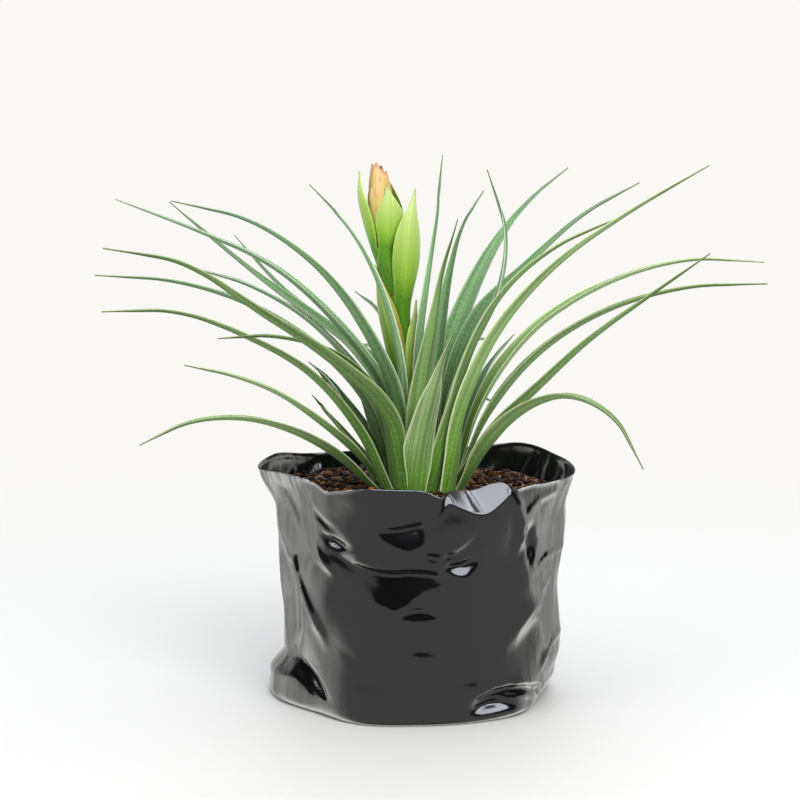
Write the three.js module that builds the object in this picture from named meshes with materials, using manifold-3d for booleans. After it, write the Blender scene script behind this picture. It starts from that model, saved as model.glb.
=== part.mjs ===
// A potted air plant: a rosette of channelled leaves round one young flower spike, in a filled grow bag.
// Millimetres, +Z up. The origin is the centre of the bag's flat underside, and the front faces -Y.
// Azimuths are degrees from +X, counter-clockwise seen from above.

import * as THREE from 'three';
import { mergeVertices } from 'three/addons/utils/BufferGeometryUtils.js';
import Module from 'manifold-3d';

const wasm = await Module();
wasm.setup();

// Film of the grow bag, thicker than the real film so that it is a sound solid
const FILM = 1.0;
const CLEARANCE = 0.35;
const BAG_AROUND = 64;
const BAG_ROWS = 11;
const FOOT_ROUNDING = 2.6;

// Outlines of the bag below its rim, by height; each point an azimuth and a radius
const OUTLINES = [
  { height: 0, points: [
    [0, 60.5], [22, 60], [45, 61], [67, 59], [90, 57.5], [112, 58], [135, 61], [157, 60.5],
    [182, 62], [202, 59.5], [225, 58.5], [247, 64], [270, 62], [292, 61.5], [310, 63.5], [337, 60.5],
  ] },
  { height: 20, points: [
    [0, 61.5], [22, 61], [45, 61], [67, 59.5], [90, 58.5], [112, 58.5], [135, 61], [157, 59.5],
    [180, 58], [202, 57.5], [225, 59.5], [247, 63], [270, 61.5], [292, 61], [315, 61.5], [337, 61.5],
  ] },
  { height: 50, points: [
    [0, 61], [22, 60], [45, 60.5], [67, 59], [90, 60], [112, 59], [135, 61], [157, 58.5],
    [180, 58.5], [202, 57.5], [225, 61], [247, 62.5], [270, 61.5], [292, 61.5], [315, 61], [337, 61.5],
  ] },
  { height: 80, points: [
    [0, 63.5], [22, 64.5], [45, 65], [67, 63.5], [90, 62.5], [112, 62.5], [135, 63.5], [157, 62],
    [180, 61], [202, 59], [225, 60.5], [247, 63.5], [270, 64], [292, 62.5], [315, 61], [341, 63.5],
  ] },
];
const FOOT_OUTLINE = OUTLINES[0].points;
const WAIST_OUTLINE = OUTLINES[2].points;
// Rim points: azimuth, radius, height, and how far the film's edge is folded inward and up there
const RIM_OUTLINE = [
  [0, 67.5, 98, 1, 0], [22, 68.5, 99, 1, 0], [46, 69, 101, 1, 0], [68, 68, 98, 1, 0],
  [90, 66, 97, 1, 0], [112, 66, 96, 1, 0], [135, 69, 96, 1, 0], [158, 67, 101, 1, 0],
  [181, 68, 99, 1, 0], [203, 61.5, 98, 1, 0], [216, 60, 98, 1, 0], [236, 62.5, 95.5, 1, 0],
  [251, 66, 97, 1, 0], [265, 65.5, 97, 1, 0], [277, 63, 91.5, 1, 0], [287, 61.5, 88, 11, 5],
  [298, 63, 86.5, 16, 8], [309, 61, 91, 11, 3], [319, 60.5, 94, 1, 0], [341, 66.5, 97, 1, 0],
];

// Creases of the film: points of azimuth and height, depth (negative stands out) and half-width
const CREASES = [
  { line: [[214, 92], [228, 82], [244, 70]], depth: 5, width: 9 },
  { line: [[235, 67], [248, 57], [262, 50], [285, 61]], depth: 4, width: 8 },
  { line: [[246, 71], [262, 66], [290, 62]], depth: -2.5, width: 9 },
  { line: [[255, 80], [272, 74]], depth: 3.5, width: 7 },
  { line: [[275, 73], [295, 80]], depth: 2.5, width: 6 },
  { line: [[188, 94], [210, 72], [234, 60]], depth: -2, width: 8 },
  { line: [[206, 57], [217, 46], [229, 34]], depth: 2.5, width: 7 },
  { line: [[203, 22], [220, 16], [232, 6]], depth: 5, width: 8 },
  { line: [[290, 6], [305, 13], [320, 12], [341, 5]], depth: 5, width: 7 },
  { line: [[318, 86], [312, 66]], depth: -3, width: 8 },
  { line: [[324, 76], [332, 55]], depth: 3.5, width: 8 },
  { line: [[350, 88], [344, 62], [348, 44]], depth: 2.5, width: 7 },
  { line: [[12, 84], [26, 52]], depth: 4, width: 9 },
  { line: [[40, 32], [62, 10]], depth: 4, width: 8 },
  { line: [[58, 88], [80, 56]], depth: 4.5, width: 9 },
  { line: [[84, 60], [104, 48], [122, 54]], depth: 3.5, width: 8 },
  { line: [[132, 90], [150, 58]], depth: 4, width: 9 },
  { line: [[160, 42], [138, 14]], depth: 3.5, width: 8 },
  { line: [[96, 26], [112, 12]], depth: 3, width: 8 },
];

// Potting mix, and the short stem that stands in its hole
const MIX_AROUND = 48;
const MIX_SIDE_HEIGHTS = [5, 12, 22, 42, 62, 78];
const MIX_TOP_SHARES = [1, 0.86, 0.72, 0.58, 0.44, 0.3, 0.16, 0];
const MIX_TOP = 86.5;
const MIX_BANK = 3;
const CRUMB_RELIEF = 0.8;
const PLANT_X = 1.5;
const HOLE_RADIUS = 22;
const HOLE_FLOOR = 76;
const STEM_RADIUS = 19.6;
const STEM_CROWN = 92.5;
const STEM_SHOULDER = 86;

// Leaf blades: a V section that thins from the midrib to the margins and narrows to a fine tip
const LEAF_STATIONS = 13;
const LEAF_MIDRIB = 1.0;
const LEAF_MARGIN = 0.8;
const LEAF_TIP_WIDTH = 0.8;
const LEAF_WIDEST_AT = 0.27;
const FOOT_LIFT = 1.2;
const FOOT_CHANNEL = 0.16;
const BLADE_CHANNEL = 0.34;
const LEAF_TAPER = 1.25;
const FOOT_WIDTH = { outer: 6.3, inner: 4.1 };

// Foot: azimuth and radius on the stem. Path: reach and height of points of the leaf's centre line, in the
// upright plane through its foot at the heading. The last ten are the hidden ones behind.
const LEAVES = [
  { foot: [200, 19], heading: 205, width: 8.5, path: [[18, 103], [38, 115], [60, 122], [84, 122], [106, 114]] },
  { foot: [196, 15], heading: 194, width: 8, path: [[14, 105], [30, 119], [47, 131], [66, 139], [86, 144]] },
  { foot: [222, 18.6], heading: 192, width: 8.5, path: [[13, 115], [33, 139], [59, 155], [88, 166], [119, 167]] },
  { foot: [243, 18.6], heading: 207, width: 11, path: [[7, 121], [34, 147], [64, 167], [96, 187], [129, 194]] },
  { foot: [224, 14.8], heading: 200, width: 8, path: [[2, 113], [12, 134], [29, 149], [53, 156], [77, 156]] },
  { foot: [188, 11.5], heading: 179, width: 8.5, path: [[10, 122], [31, 147], [59, 166], [92, 177], [127, 180]] },
  { foot: [159, 11.2], heading: 175, width: 8, path: [[6, 120], [20, 142], [39, 161], [63, 175], [89, 183]] },
  { foot: [187, 7.2], heading: 174, width: 8.5, path: [[8, 129], [29, 159], [56, 183], [90, 199], [124, 212]] },
  { foot: [222, 10.8], heading: 203, width: 9.5, path: [[3, 125], [16, 155], [37, 183], [66, 203], [100, 212]] },
  { foot: [140, 7.2], heading: 145, width: 8.5, path: [[8, 124], [20, 140], [41, 154], [72, 171], [103, 190], [134, 210]] },
  { foot: [122, 11], heading: 130, width: 8, path: [[9, 121], [36, 144], [68, 159], [98, 175], [127, 194]] },
  { foot: [98, 7.6], heading: 119, width: 8, path: [[4, 113], [11, 134], [23, 151], [38, 163], [58, 170]] },
  { foot: [233, 7], heading: 215, width: 6.5, path: [[4, 120], [7, 148], [15, 174], [29, 198], [50, 218]] },
  { foot: [300, 7], heading: 335, width: 7, path: [[-3, 116], [-4, 148], [-1, 175], [3, 203], [6, 230]] },
  { foot: [262, 11], heading: 305, width: 9.5, path: [[2, 113], [6, 137], [12, 159], [18, 182], [28, 204]] },
  { foot: [56, 7.4], heading: 62, width: 6.5, path: [[3, 121], [8, 148], [17, 175], [31, 199], [53, 215]] },
  { foot: [346, 7.4], heading: 9, width: 7, path: [[5, 120], [14, 146], [26, 171], [29, 197], [21, 224]] },
  { foot: [54, 11], heading: 61, width: 9, path: [[6, 130], [29, 164], [61, 192], [98, 212], [137, 226]] },
  { foot: [22, 11], heading: 35, width: 8.5, path: [[4, 127], [18, 160], [46, 183], [76, 204], [110, 219]] },
  { foot: [287, 14.8], heading: 352, width: 9.5, path: [[8, 118], [16, 146], [30, 173], [51, 192], [78, 205]] },
  { foot: [308, 18.6], heading: 342, width: 10.5, path: [[7, 124], [22, 157], [46, 185], [76, 207], [108, 226]] },
  { foot: [40, 14.8], heading: 42, width: 8, path: [[8, 110], [17, 126], [27, 140], [41, 152]] },
  { foot: [16, 14.8], heading: 14, width: 8.5, path: [[13, 125], [36, 155], [69, 175], [106, 185], [143, 184]] },
  { foot: [352, 14.8], heading: 356, width: 8.5, path: [[14, 120], [36, 147], [64, 165], [97, 175], [131, 177]] },
  { foot: [328, 15.2], heading: 338, width: 8.5, path: [[6, 97], [17, 112], [38, 133], [60, 154], [85, 173], [110, 191]] },
  { foot: [331, 19], heading: 318, width: 9.5, path: [[14, 107], [34, 125], [57, 133], [80, 126], [95, 107]] },
  { foot: [264, 18.6], heading: 290, width: 10.5, path: [[4, 104], [11, 119], [20, 133], [30, 147], [41, 159]] },
  { foot: [176, 18.8], heading: 172, width: 7, path: [[4, 98], [12, 109], [20, 119], [28, 128]] },
  { foot: [168, 15], heading: 166, width: 6.5, path: [[4, 101], [11, 114], [22, 128], [31, 139]] },
  { foot: [66, 14.8], heading: 72, width: 9, path: [[16, 112], [42, 136], [70, 146], [94, 143]] },
  { foot: [91, 14.8], heading: 86, width: 9, path: [[14, 114], [36, 138], [62, 150], [86, 148]] },
  { foot: [100, 18.8], heading: 96, width: 9, path: [[16, 102], [42, 118], [66, 122], [88, 112]] },
  { foot: [116, 14.8], heading: 106, width: 8.5, path: [[14, 112], [36, 134], [60, 144], [78, 142]] },
  { foot: [142, 15], heading: 116, width: 8.5, path: [[14, 110], [34, 130], [54, 141], [70, 142]] },
  { foot: [70, 18.8], heading: 66, width: 9, path: [[14, 102], [34, 115], [54, 120], [70, 117]] },
  { foot: [136, 18.8], heading: 150, width: 8.5, path: [[9, 104], [20, 120], [30, 132], [41, 140]] },
  { foot: [90, 10], heading: 92, width: 8, path: [[6, 116], [20, 138], [38, 152], [56, 155]] },
];

// Flower stalk: points of its centre line, each with its radius; it swells where the bud stands on it
const STALK = [
  [-0.5, 0, 93.2, 2.5], [-3.6, 0, 120, 2.4], [-5.5, 0, 147, 2.3],
  [-7.6, 0, 166, 2.2], [-10.8, 0, 180, 2.4], [-13.4, 0, 189, 3.8],
];

// Bracts: centre line of the outer face, the azimuth that it faces, width, where it is widest, and its curl
const BRACTS = {
  bract_right: {
    line: [[-5.6, -4.6, 166], [-3.9, -8.6, 183], [-2.7, -10.2, 200], [-0.7, -7, 216]],
    facing: 285, width: 13.8, widest: 0.42, curl: 0.26,
  },
  bract_bud_front: {
    line: [[-12.6, -5, 189.6], [-11.4, -7, 201], [-11.6, -7, 210], [-12.8, -6, 217.5]],
    facing: 275, width: 11.4, widest: 0.42, curl: 0.2,
  },
  bract_bud_back: {
    line: [[-10.8, 4.4, 189.6], [-7.6, 6.8, 202], [-8, 5.6, 211], [-11, 2.8, 218.5]],
    facing: 50, width: 10, widest: 0.42, curl: 0.34,
  },
  bract_bud_left: {
    line: [[-18.9, 0, 189.6], [-22.8, -1, 203], [-24.8, -1.2, 213], [-24.6, -1.2, 223.5]],
    facing: 195, width: 7.5, widest: 0.35, curl: 0.3,
  },
  bract_stalk_left: {
    line: [[-8.2, -2, 128], [-11, -3.2, 148], [-14.6, -2.2, 165], [-18.2, -1.2, 184]],
    facing: 222, width: 8.4, widest: 0.5, curl: 0.26,
  },
  bract_stalk_right: {
    line: [[0.4, -1.6, 126], [-0.2, -2, 145], [0, -1.4, 157], [0, -0.4, 169]],
    facing: 335, width: 6.8, widest: 0.5, curl: 0.3,
  },
};
const BRACT_STATIONS = 9;
const BRACT_THICKNESS = 0.9;

// Flower bud: petals in two layers round a slim core, tips apart and at different heights
const BUD = { foot: [-14, 0, 189.4], lean: [-2.4, 0, 37.4], core: 2.6, petalWidth: 6, petalThickness: 0.9 };
const PETALS = [
  { azimuth: 245, out: 3.1, length: 1.0, flare: 0.5 }, { azimuth: 305, out: 3.1, length: 0.93, flare: 0.8 },
  { azimuth: 5, out: 3.3, length: 0.91, flare: 1.3 }, { azimuth: 65, out: 3.1, length: 0.97, flare: 0.8 },
  { azimuth: 125, out: 3.1, length: 0.94, flare: 0.6 }, { azimuth: 185, out: 3.2, length: 0.99, flare: 0.9 },
  { azimuth: 275, out: 4, length: 0.84, flare: 1.0 }, { azimuth: 40, out: 4, length: 0.8, flare: 1.2 },
  { azimuth: 155, out: 4, length: 0.82, flare: 0.8 }, { azimuth: 215, out: 4, length: 0.78, flare: 0.9 },
];

const radians = (degrees) => degrees * Math.PI / 180;
const mix = (from, to, share) => from + (to - from) * share;
const easeStep = (share) => {
  const s = Math.min(1, Math.max(0, share));
  return s * s * (3 - 2 * s);
};

// Smooth closed curve through a table whose first column is the azimuth; gives one column of it
function around(table, azimuth, column) {
  const turn = ((azimuth % 360) + 360) % 360;
  const count = table.length;
  let i = count - 1;
  while (i > 0 && table[i][0] > turn) i -= 1;
  const at = (k) => table[(k + count) % count][column];
  const start = table[i][0];
  const end = i === count - 1 ? table[0][0] + 360 : table[i + 1][0];
  const t = (turn - start) / (end - start);
  const [a, b, c, d] = [at(i - 1), at(i), at(i + 1), at(i + 2)];
  return b + 0.5 * t * (c - a + t * (2 * a - 5 * b + 4 * c - d + t * (3 * (b - c) + d - a)));
}

// How far the creases take the film inward at an azimuth and height
function creaseDepth(azimuth, height) {
  const girth = radians(1) * around(WAIST_OUTLINE, azimuth, 1);
  let total = 0;
  for (const { line, depth, width } of CREASES) {
    let nearest = Infinity;
    for (let i = 0; i + 1 < line.length; i += 1) {
      const dx = (line[i + 1][0] - line[i][0]) * girth;
      const dz = line[i + 1][1] - line[i][1];
      const px = (((azimuth - line[i][0] + 540) % 360) - 180) * girth;
      const pz = height - line[i][1];
      const share = Math.min(1, Math.max(0, (px * dx + pz * dz) / (dx * dx + dz * dz)));
      nearest = Math.min(nearest, Math.hypot(px - dx * share, pz - dz * share));
    }
    total += depth * Math.max(0, 1 - nearest / width);
  }
  return total;
}

// Radius of the bag's outer face, between the outlines below and above
function bagRadius(azimuth, height) {
  const top = { height: around(RIM_OUTLINE, azimuth, 2), points: RIM_OUTLINE };
  const levels = [...OUTLINES, top];
  const above = Math.max(1, levels.findIndex((level) => level.height >= height));
  const [low, high] = [levels[above - 1], levels[above]];
  const share = (height - low.height) / (high.height - low.height);
  const smooth = mix(around(low.points, azimuth, 1), around(high.points, azimuth, 1), easeStep(share));
  return smooth - creaseDepth(azimuth, height);
}

const onCircle = (azimuth, radius, height) => new THREE.Vector3(
  radius * Math.cos(radians(azimuth)), radius * Math.sin(radians(azimuth)), height);

// One ring of points about the bag's axis
function ringOf(count, place) {
  const ring = [];
  for (let k = 0; k < count; k += 1) ring.push(place(k * 360 / count));
  return ring;
}

// Closed solid through rings of equal count, with a point or a flat fan at each end.
// With folded true, the two halves of each ring are split alike, so that a thin blade keeps its thickness.
function loft(rings, { startPole = null, endPole = null, folded = false } = {}) {
  const positions = [];
  const indices = [];
  const count = rings[0].length;
  rings.forEach((ring) => ring.forEach((p) => positions.push(p.x, p.y, p.z)));
  for (let j = 0; j + 1 < rings.length; j += 1) {
    for (let k = 0; k < count; k += 1) {
      const a = j * count + k;
      const b = j * count + (k + 1) % count;
      const c = b + count;
      const d = a + count;
      if (folded && k >= count / 2) indices.push(a, b, d, b, c, d);
      else indices.push(a, b, c, a, c, d);
    }
  }
  const last = (rings.length - 1) * count;
  const closeEnd = (pole, first, outward) => {
    if (pole) {
      const tip = positions.length / 3;
      positions.push(pole.x, pole.y, pole.z);
      for (let k = 0; k < count; k += 1) {
        const next = (k + 1) % count;
        indices.push(tip, first + (outward ? k : next), first + (outward ? next : k));
      }
      return;
    }
    // A blade's end is closed between its two faces, other ends by a fan
    const half = count / 2;
    for (let k = 0; k + 1 < half; k += 1) {
      const quad = [first + k, first + k + 1, first + count - 2 - k, first + count - 1 - k];
      if (outward) indices.push(quad[0], quad[1], quad[2], quad[0], quad[2], quad[3]);
      else indices.push(quad[0], quad[2], quad[1], quad[0], quad[3], quad[2]);
    }
  };
  closeEnd(startPole, 0, false);
  closeEnd(endPole, last, true);
  const geometry = new THREE.BufferGeometry();
  geometry.setAttribute('position', new THREE.Float32BufferAttribute(positions, 3));
  geometry.setIndex(indices);
  return geometry;
}

function materialOf(colour, roughness) {
  return new THREE.MeshStandardMaterial({ color: colour, roughness, metalness: 0 });
}

function meshOf(name, geometry, material) {
  const mesh = new THREE.Mesh(geometry, material);
  mesh.name = name;
  return mesh;
}

// The bag: outer face from the underside up, over the rim and its folded-in flap, and down inside
function growBag() {
  const footRadius = (azimuth) => around(FOOT_OUTLINE, azimuth, 1);
  const rowHeight = (azimuth, row) => mix(
    FOOT_ROUNDING, around(RIM_OUTLINE, azimuth, 2), row / BAG_ROWS);
  const innerHeight = (azimuth, row) => mix(
    FOOT_ROUNDING + FILM, around(RIM_OUTLINE, azimuth, 2) - 2 * FILM, row / BAG_ROWS);
  const rings = [ringOf(BAG_AROUND, (az) => onCircle(az, footRadius(az) - FOOT_ROUNDING, 0))];
  for (let row = 0; row <= BAG_ROWS; row += 1) {
    rings.push(ringOf(BAG_AROUND, (az) => {
      const height = rowHeight(az, row);
      return onCircle(az, bagRadius(az, height), height);
    }));
  }
  const lip = (drop) => ringOf(BAG_AROUND, (az) => onCircle(
    az,
    around(RIM_OUTLINE, az, 1) - Math.max(FILM, around(RIM_OUTLINE, az, 3)),
    around(RIM_OUTLINE, az, 2) + Math.max(0, around(RIM_OUTLINE, az, 4)) - drop));
  rings.push(lip(0), lip(FILM));
  for (let row = BAG_ROWS; row >= 0; row -= 1) {
    rings.push(ringOf(BAG_AROUND, (az) => {
      const height = innerHeight(az, row);
      return onCircle(az, bagRadius(az, height) - FILM, height);
    }));
  }
  rings.push(ringOf(BAG_AROUND, (az) => onCircle(az, footRadius(az) - FOOT_ROUNDING - FILM, FILM)));
  const solid = loft(rings, {
    startPole: new THREE.Vector3(9, 7, 0), endPole: new THREE.Vector3(0, 0, FILM),
  });
  return meshOf('grow_bag', solid, materialOf(0x1b1b1d, 0.22));
}

// Radius that the mix fills at a height, clear of every fold near it
function packedRadius(azimuth, height) {
  let radius = Infinity;
  for (const turn of [-7, 0, 7]) {
    for (const rise of [-9, -4, 0, 4, 9]) {
      const at = Math.min(84, Math.max(FOOT_ROUNDING, height + rise));
      radius = Math.min(radius, bagRadius(azimuth + turn, at));
    }
  }
  return radius - FILM - 2 * CLEARANCE;
}

// Height of the mix: low round the plant and at the front right, banked up to the film elsewhere
function mixHeight(azimuth, share) {
  const bank = MIX_BANK * easeStep(share * 1.6) * (0.8 - 0.3 * Math.cos(radians(azimuth)));
  const underFlap = 3.5 * easeStep((share - 0.3) * 2) * easeStep(1 - Math.abs(azimuth - 297) / 32);
  const crumbs = Math.sin(azimuth * 0.61 + share * 31) + Math.sin(azimuth * 0.23 - share * 47);
  return MIX_TOP + bank - underFlap + CRUMB_RELIEF * 0.5 * crumbs * easeStep(share * 5);
}

// The mix: it fills the bag, and has a plain hole where the plant stands
function pottingMix() {
  const hole = (azimuth, height) => onCircle(azimuth, HOLE_RADIUS, height).add(new THREE.Vector3(PLANT_X, 0, 0));
  const rings = [ringOf(MIX_AROUND, (az) => onCircle(
    az, around(FOOT_OUTLINE, az, 1) - FOOT_ROUNDING - FILM - 1.5, FILM + CLEARANCE))];
  for (const height of MIX_SIDE_HEIGHTS) {
    rings.push(ringOf(MIX_AROUND, (az) => onCircle(az, packedRadius(az, height), height)));
  }
  for (const share of MIX_TOP_SHARES) {
    rings.push(ringOf(MIX_AROUND, (az) => {
      const edge = onCircle(az, packedRadius(az, 84), 0);
      const place = hole(az, 0).lerp(edge, share);
      return place.setZ(mixHeight(az, share));
    }));
  }
  rings.push(ringOf(MIX_AROUND, (az) => hole(az, HOLE_FLOOR)));
  const solid = loft(rings, {
    startPole: new THREE.Vector3(0, 0, FILM + CLEARANCE),
    endPole: new THREE.Vector3(PLANT_X, 0, HOLE_FLOOR),
  });
  return meshOf('potting_mix', solid, materialOf(0x5a341e, 0.95));
}

// Height of the stem's crown, where a leaf's foot stands
function crownHeight(radius) {
  return mix(STEM_CROWN, STEM_SHOULDER, (radius / STEM_RADIUS) ** 2);
}

// The short compressed stem
function plantStem() {
  const profile = [new THREE.Vector2(0, HOLE_FLOOR + CLEARANCE)];
  profile.push(new THREE.Vector2(STEM_RADIUS * 0.7, HOLE_FLOOR + CLEARANCE));
  profile.push(new THREE.Vector2(STEM_RADIUS, HOLE_FLOOR + 4));
  for (const share of [1, 0.8, 0.6, 0.4, 0.2]) {
    profile.push(new THREE.Vector2(STEM_RADIUS * share, crownHeight(STEM_RADIUS * share)));
  }
  profile.push(new THREE.Vector2(0, STEM_CROWN));
  const solid = new THREE.LatheGeometry(profile, 24).rotateX(Math.PI / 2).translate(PLANT_X, 0, 0);
  return meshOf('plant_stem', solid, materialOf(0x5c6b34, 0.7));
}

// Width of a leaf at a share of its length, from the foot
function leafWidth(leaf, footWidth, share) {
  if (share < LEAF_WIDEST_AT) return mix(footWidth, leaf.width, easeStep(share / LEAF_WIDEST_AT));
  const left = (1 - share) / (1 - LEAF_WIDEST_AT);
  return mix(LEAF_TIP_WIDTH, leaf.width, left ** LEAF_TAPER);
}

// Centre line of a leaf, from its foot on the crown out to its tip
function leafLine(leaf) {
  const [footAzimuth, footRadius] = leaf.foot;
  const foot = onCircle(footAzimuth, footRadius, crownHeight(footRadius) + FOOT_LIFT);
  foot.x += PLANT_X;
  const outward = onCircle(leaf.heading, 1, 0);
  const points = leaf.path.map(([reach, height]) => foot.clone().addScaledVector(outward, reach).setZ(height));
  return new THREE.CatmullRomCurve3([foot, ...points], false, 'centripetal');
}

// A leaf: V-shaped rings along its line, the channel facing up and inward
function leafBlade(leaf) {
  const line = leafLine(leaf);
  const [footAzimuth, footRadius] = leaf.foot;
  const footWidth = mix(FOOT_WIDTH.inner, FOOT_WIDTH.outer, (footRadius - 7) / 12);
  const turn = ((leaf.heading - footAzimuth + 540) % 360) - 180;
  const rings = [];
  for (let i = 0; i < LEAF_STATIONS; i += 1) {
    const share = i / (LEAF_STATIONS - 1);
    const centre = line.getPointAt(share);
    const tangent = line.getTangentAt(share);
    const side = onCircle(footAzimuth + turn * easeStep(share / LEAF_WIDEST_AT) + 90, 1, 0);
    side.addScaledVector(tangent, -side.dot(tangent)).normalize();
    const inward = tangent.clone().cross(side);
    const half = leafWidth(leaf, footWidth, share) / 2;
    const channel = mix(FOOT_CHANNEL, BLADE_CHANNEL, easeStep(share / LEAF_WIDEST_AT));
    const point = (across, up) => centre.clone().addScaledVector(side, across).addScaledVector(inward, up);
    const rise = 2 * half * channel;
    rings.push([
      point(half, rise), point(0, 0), point(-half, rise),
      point(-half, rise - LEAF_MARGIN), point(0, -LEAF_MIDRIB), point(half, rise - LEAF_MARGIN),
    ]);
  }
  return loft(rings, { folded: true });
}

function leaves() {
  return LEAVES.map((leaf, index) => {
    const name = `leaf_${String(index + 1).padStart(2, '0')}`;
    return meshOf(name, leafBlade(leaf), materialOf(index % 3 ? 0x6a9458 : 0x7fa888, 0.6));
  });
}

const curveThrough = (points) => new THREE.CatmullRomCurve3(points.map((p) => new THREE.Vector3(p[0], p[1], p[2])));

// The stalk: round rings along its line
function flowerStalk() {
  const line = curveThrough(STALK);
  const girth = new THREE.CatmullRomCurve3(STALK.map((point, i) => new THREE.Vector3(i, point[3], 0)));
  const steps = 14;
  const sides = 10;
  const rings = [];
  for (let i = 0; i <= steps; i += 1) {
    const centre = line.getPoint(i / steps);
    const radius = girth.getPoint(i / steps).y;
    rings.push(ringOf(sides, (az) => onCircle(az, radius, 0).add(centre)));
  }
  const solid = loft(rings, { startPole: line.getPoint(0), endPole: line.getPoint(1) });
  return meshOf('flower_stalk', solid, materialOf(0x6f9a24, 0.5));
}

// A boat-shaped blade along a line, its outer face turned to an azimuth
function curledBlade({ line, facing, width, widest, curl, thickness, stations }) {
  const rings = [];
  for (let i = 0; i < stations; i += 1) {
    const share = i / (stations - 1);
    const centre = line.getPointAt(share);
    const tangent = line.getTangentAt(share);
    const side = onCircle(facing + 90, 1, 0);
    side.addScaledVector(tangent, -side.dot(tangent)).normalize();
    const inward = tangent.clone().cross(side);
    const swell = share < widest
      ? mix(0.62, 1, easeStep(share / widest))
      : Math.max(0.1, Math.cos((share - widest) / (1 - widest) * Math.PI / 2) ** 0.8);
    const half = width * swell / 2;
    const point = (across, depth) => centre.clone()
      .addScaledVector(side, across * half)
      .addScaledVector(inward, curl * 2 * half * across * across + depth);
    rings.push([
      point(1, thickness), point(0.5, thickness), point(0, thickness), point(-0.5, thickness), point(-1, thickness),
      point(-1, 0), point(-0.5, 0), point(0, 0), point(0.5, 0), point(1, 0),
    ]);
  }
  return loft(rings, { folded: true });
}

function bracts() {
  return Object.entries(BRACTS).map(([name, bract]) => {
    const blade = curledBlade({
      ...bract, line: curveThrough(bract.line), thickness: BRACT_THICKNESS, stations: BRACT_STATIONS,
    });
    return meshOf(name, blade, materialOf(0x93c02c, 0.45));
  });
}

// A closed geometry as a solid that can be joined, and back
function solidOf(geometry) {
  geometry.deleteAttribute('normal');
  geometry.deleteAttribute('uv');
  const merged = mergeVertices(geometry, 1e-4);
  return new wasm.Manifold(new wasm.Mesh({
    numProp: 3,
    vertProperties: new Float32Array(merged.attributes.position.array),
    triVerts: new Uint32Array(merged.index.array),
  }));
}

function geometryOf(solid) {
  const { vertProperties, triVerts } = solid.getMesh();
  const geometry = new THREE.BufferGeometry();
  geometry.setAttribute('position', new THREE.BufferAttribute(new Float32Array(vertProperties), 3));
  geometry.setIndex(new THREE.BufferAttribute(new Uint32Array(triVerts), 1));
  return geometry;
}

// The bud: a slim core with its petals laid round it and grown into it
function flowerBud() {
  const foot = new THREE.Vector3(...BUD.foot);
  const lean = new THREE.Vector3(...BUD.lean);
  const onAxis = (share) => foot.clone().addScaledVector(lean, share);
  const coreRings = [0.02, 0.2, 0.45, 0.7, 0.88].map((share) => {
    const radius = BUD.core * (0.8 + 0.9 * Math.sin(Math.PI * Math.min(1, share + 0.05)));
    return ringOf(10, (az) => onCircle(az, radius, 0).add(onAxis(share)));
  });
  let bud = solidOf(loft(coreRings, { startPole: onAxis(0.02), endPole: onAxis(0.9) }));
  for (const petal of PETALS) {
    const spread = [0.5, 0.95, 1.15, 1.05 + 0.1 * petal.flare, 0.4 + 0.25 * petal.flare];
    const points = spread.map((out, i) => {
      const share = petal.length * i / (spread.length - 1);
      return onCircle(petal.azimuth, petal.out * out, 0).add(onAxis(0.04 + 0.96 * share));
    });
    const blade = curledBlade({
      line: new THREE.CatmullRomCurve3(points), facing: petal.azimuth, width: BUD.petalWidth, widest: 0.5,
      curl: 0.26, thickness: BUD.petalThickness, stations: 7,
    });
    bud = bud.add(solidOf(blade));
  }
  return meshOf('flower_bud', geometryOf(bud), materialOf(0xd49a5c, 0.55));
}

const plant = new THREE.Group();
plant.add(growBag(), pottingMix(), plantStem(), ...leaves(), flowerStalk(), ...bracts(), flowerBud());

export default plant;
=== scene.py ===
import math
import random

import bmesh
import bpy
import numpy as np
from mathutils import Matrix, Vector


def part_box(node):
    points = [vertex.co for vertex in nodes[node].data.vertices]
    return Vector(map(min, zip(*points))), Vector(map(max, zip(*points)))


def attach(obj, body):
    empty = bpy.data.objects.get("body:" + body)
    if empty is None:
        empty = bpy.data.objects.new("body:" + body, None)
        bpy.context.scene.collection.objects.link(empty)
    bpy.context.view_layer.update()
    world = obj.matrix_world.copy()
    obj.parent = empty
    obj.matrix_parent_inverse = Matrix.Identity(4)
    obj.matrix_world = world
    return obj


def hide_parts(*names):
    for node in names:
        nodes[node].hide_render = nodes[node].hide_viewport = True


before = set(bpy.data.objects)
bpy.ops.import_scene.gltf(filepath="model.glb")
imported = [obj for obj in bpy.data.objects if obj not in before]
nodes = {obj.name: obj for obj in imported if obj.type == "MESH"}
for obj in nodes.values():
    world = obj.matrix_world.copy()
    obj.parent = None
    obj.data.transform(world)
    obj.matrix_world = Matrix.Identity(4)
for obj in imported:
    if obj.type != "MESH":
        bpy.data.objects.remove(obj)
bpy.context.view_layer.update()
mm = 0.001


# Helpers
def linearColour(code):
    parts = [int(code[i:i + 2], 16) / 255 for i in (1, 3, 5)]
    return tuple(p / 12.92 if p <= 0.04045 else ((p + 0.055) / 1.055) ** 2.4 for p in parts) + (1.0,)


# Mix nodes for colours: input 0 is the share, 6 and 7 are the colours
mixColours = {"data_type": "RGBA"}
multiplyColours = {"data_type": "RGBA", "blend_type": "MULTIPLY"}


def fillSockets(tree, node, values):
    # a value is a node, a socket, an sRGB code or a constant
    for name, value in values.items():
        if isinstance(value, bpy.types.Node):
            value = value.outputs[2 if value.bl_idname == "ShaderNodeMix" else 0]
        if isinstance(value, bpy.types.NodeSocket):
            tree.links.new(value, node.inputs[name])
        else:
            node.inputs[name].default_value = linearColour(value) if isinstance(value, str) else value


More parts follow.
